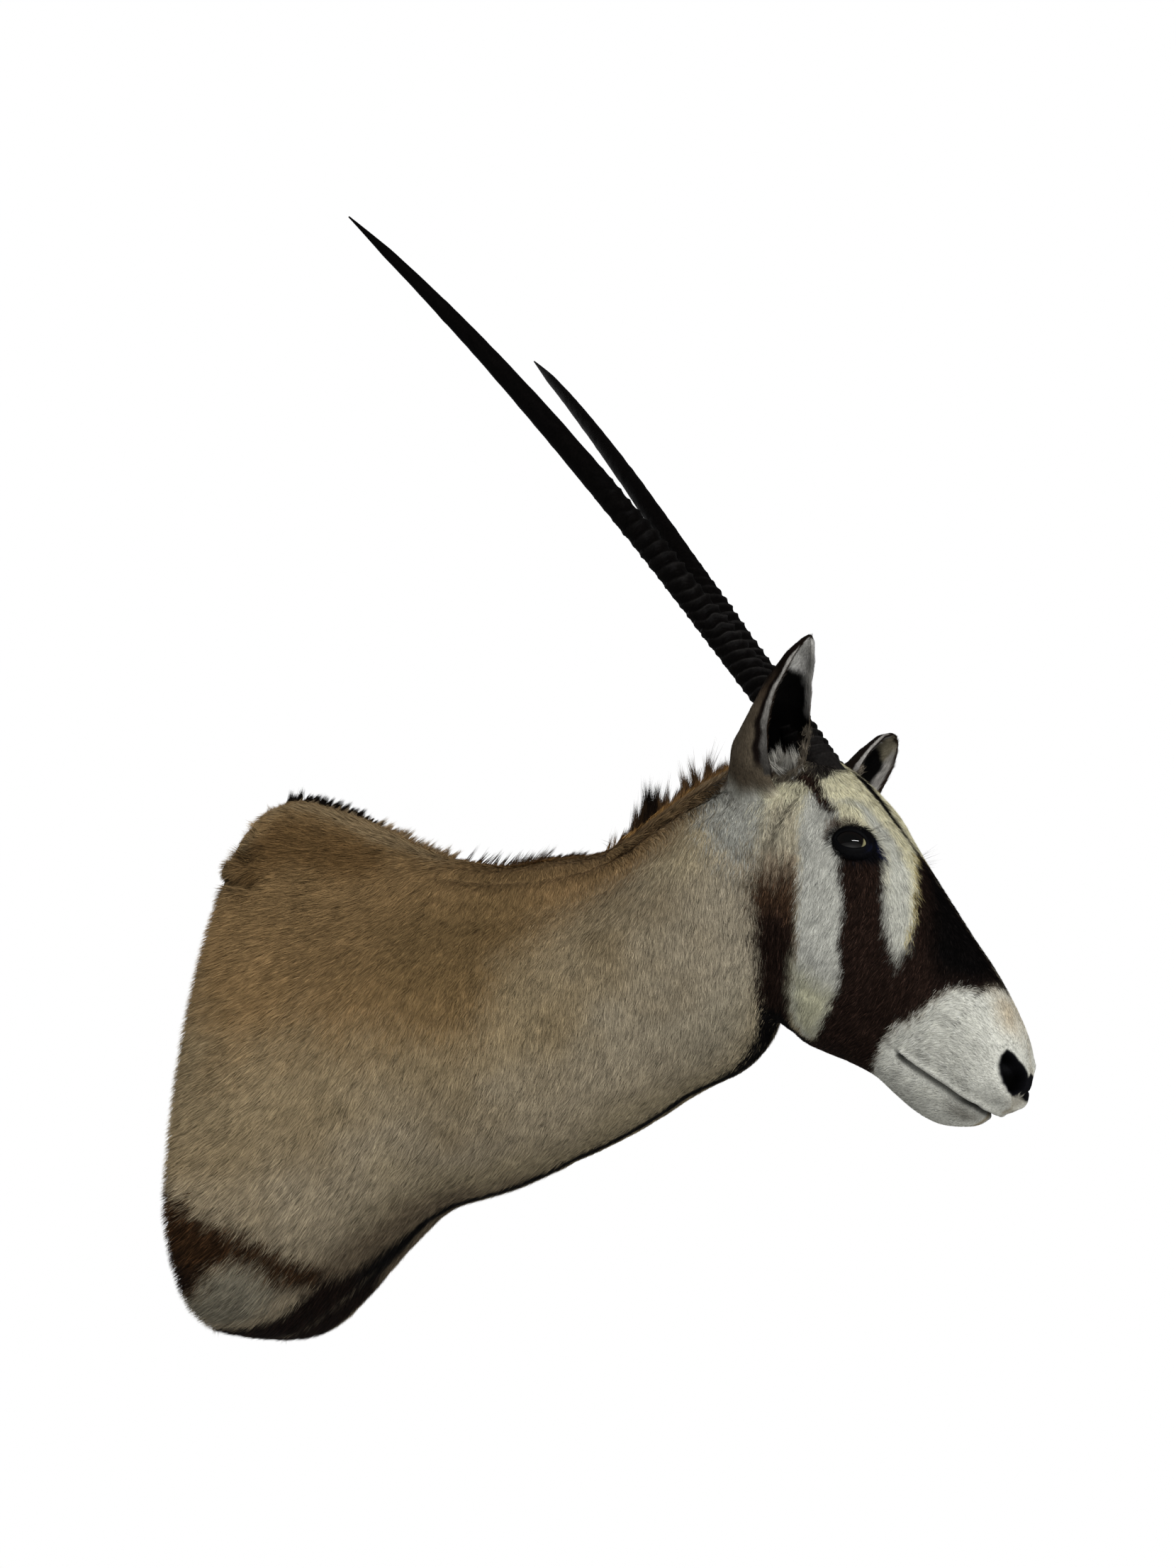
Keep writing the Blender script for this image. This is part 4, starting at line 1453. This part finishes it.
def build_mane(hide):
    """The upright tufts along the crest."""
    roots, ways, lengths, dark, light = [], [], [], [], []
    for (start, end), tufts, number, height, radius, lean, spread, low, high in TUFTS:
        number = number if number < 5 else max(int(number * QUICK), 10)
        for tuft in range(tufts):
            place = start + (end - start) * (tuft + RANDOM.uniform(0.1, 0.9)) / tufts
            girth = np.interp(place, np.arange(LAST + 1), GIRTH)
            away = RANDOM.normal(0, 0.5) * spread
            column = HIDE_COLUMNS // 4 + away / girth * HIDE_COLUMNS / (2 * math.pi)
            middle = hide.points[hide.row_at(place), int(column)]
            turn = section_turn(np.array([place]))[0]
            forward = np.array((-math.sin(turn), -math.cos(turn), 0.0))
            sideways = np.array((math.cos(turn), -math.sin(turn), 0.0))
            size = height * RANDOM.uniform(0.75, 1.2)
            aim = unit(forward * (lean + RANDOM.normal(0, 0.15)) + np.array((0, 0, 1.0))
                       + sideways * (away * 22 + RANDOM.normal(0, 0.12)))
            tip = middle + aim * size + RANDOM.normal(0, 0.075 * size, (number, 3))
            root = middle + (forward * RANDOM.normal(0, 0.7, (number, 1))
                             + sideways * RANDOM.normal(0, 0.7, (number, 1))) * radius
            root = root - aim * 0.002
            way = tip - root
            reach = np.linalg.norm(way, axis=1) * RANDOM.uniform(0.45, 1.06, number)
            roots.append(root)
            ways.append(way)
            lengths.append(reach)
            tone = (RANDOM.uniform(0.7, 1.3) * RANDOM.uniform(0.65, 1.35, number))[:, None]
            dark.append(low * tone)
            light.append(high * tone)
    roots, ways, lengths, dark, light = map(np.concatenate, (roots, ways, lengths, dark, light))
    tuft_hairs("mane", roots, ways, lengths, MANE_WIDTH, dark, light)


build_mane(hide)

# ---------------------------------------------------------------- the back board


def plywood():
    """Long grain over the faces, and the plies' bands through the thickness."""
    made, tree, shader = shader_material("plywood", 0.62)
    coordinates = add_node(tree, "ShaderNodeTexCoord").outputs["Object"]
    grain = object_noise(tree, 42.0, 8.0, (4.0, 1.0, 0.35))
    plies = add_node(tree, "ShaderNodeTexWave", [(0, coordinates)], bands_direction="Y")
    plies.inputs["Scale"].default_value = 55.0
    plies.inputs["Distortion"].default_value = 0.6
    ramp = add_node(tree, "ShaderNodeValToRGB", [(0, grain)])
    for stop, place, colour in zip(ramp.color_ramp.elements, (0.3, 0.72),
                                   ((0.26, 0.155, 0.075, 1), (0.52, 0.36, 0.21, 1))):
        stop.position, stop.color = place, colour
    tree.links.new(varied(tree, ramp.outputs[0], plies.outputs["Fac"], 0.8, 1.1),
                   shader.inputs["Base Color"])
    bumped(tree, shader, grain, 0.5, 0.0008)
    return made


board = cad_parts["back_board"]
board.data.materials.clear()
board.data.materials.append(plywood())

# ---------------------------------------------------------------- studio

FLOOR_HEIGHT, FLOOR_HALF = -1.60, 9.0


def build_floor():
    """A pale floor far below the mount."""
    made, _, shader = shader_material("studio floor", 0.9)
    shader.inputs["Base Color"].default_value = (0.86, 0.86, 0.86, 1)
    mesh = bpy.data.meshes.new("studio_floor")
    corners = [(x * FLOOR_HALF, y * FLOOR_HALF, FLOOR_HEIGHT)
               for x, y in ((-1, -1), (1, -1), (1, 1), (-1, 1))]
    mesh.from_pydata(corners, [], [(0, 1, 2, 3)])
    mesh.materials.append(made)
    floor = bpy.data.objects.new("studio_floor", mesh)
    bpy.context.scene.collection.objects.link(floor)


def area_light(name, place, target, wide, tall, power):
    """A rectangular light at a place, turned to a target."""
    light = bpy.data.lights.new(name, "AREA")
    light.shape, light.size, light.size_y, light.energy = "RECTANGLE", wide, tall, power
    made = bpy.data.objects.new(name, light)
    made.location = place
    made.rotation_mode = "QUATERNION"
    made.rotation_quaternion = (Vector(target) - Vector(place)).to_track_quat("-Z", "Y")
    bpy.context.scene.collection.objects.link(made)
    return made


def build_world():
    """White to the camera, and dimmer as a light and in reflections."""
    world = bpy.data.worlds.new("pale studio")
    bpy.context.scene.world = world
    world.use_nodes = True
    tree = world.node_tree
    back = tree.nodes["Background"]
    back.inputs["Color"].default_value = (1, 1, 1, 1)
    path = add_node(tree, "ShaderNodeLightPath").outputs
    seen = add_node(tree, "ShaderNodeMapRange", [(0, path["Is Camera Ray"])], n3=0.24, n4=1.0)
    gloss = add_node(tree, "ShaderNodeMapRange", [(0, path["Is Glossy Ray"])], n3=1.0, n4=0.3)
    strength = add_node(tree, "ShaderNodeMath", [(0, seen.outputs[0]), (1, gloss.outputs[0])],
                        operation="MULTIPLY")
    tree.links.new(strength.outputs[0], back.inputs["Strength"])


TARGET = Vector((0.0, -0.348, 0.267))
CAMERA_DISTANCE, CAMERA_SENSOR, CAMERA_LENS = 2.4, 36.0, 55.80
AZIMUTH, ELEVATION = math.radians(18), math.radians(15)


def build_camera():
    """The photo's own view."""
    level = math.cos(ELEVATION)
    ahead = Vector((math.cos(AZIMUTH) * level, math.sin(AZIMUTH) * level, math.sin(ELEVATION)))
    data = bpy.data.cameras.new("camera")
    data.sensor_width, data.lens = CAMERA_SENSOR, CAMERA_LENS
    camera = bpy.data.objects.new("camera", data)
    camera.location = TARGET - ahead * CAMERA_DISTANCE
    camera.rotation_mode = "QUATERNION"
    camera.rotation_quaternion = ahead.to_track_quat("-Z", "Y")
    bpy.context.scene.collection.objects.link(camera)
    bpy.context.scene.camera = camera


build_floor()
build_world()
key = area_light("key", (-2.3, -1.9, 1.7), (0, -0.5, 0.15), 1.8, 0.7, 62)
key.visible_glossy = False
area_light("front", (-2.0, -2.35, 0.3), (0, -0.5, 0.1), 2.1, 0.14, 21)
area_light("rear fill", (1.8, 1.6, 2.2), (0, -0.3, 0.2), 2.4, 2.4, 16)
build_camera()
bpy.context.scene.view_settings.view_transform = "Standard"
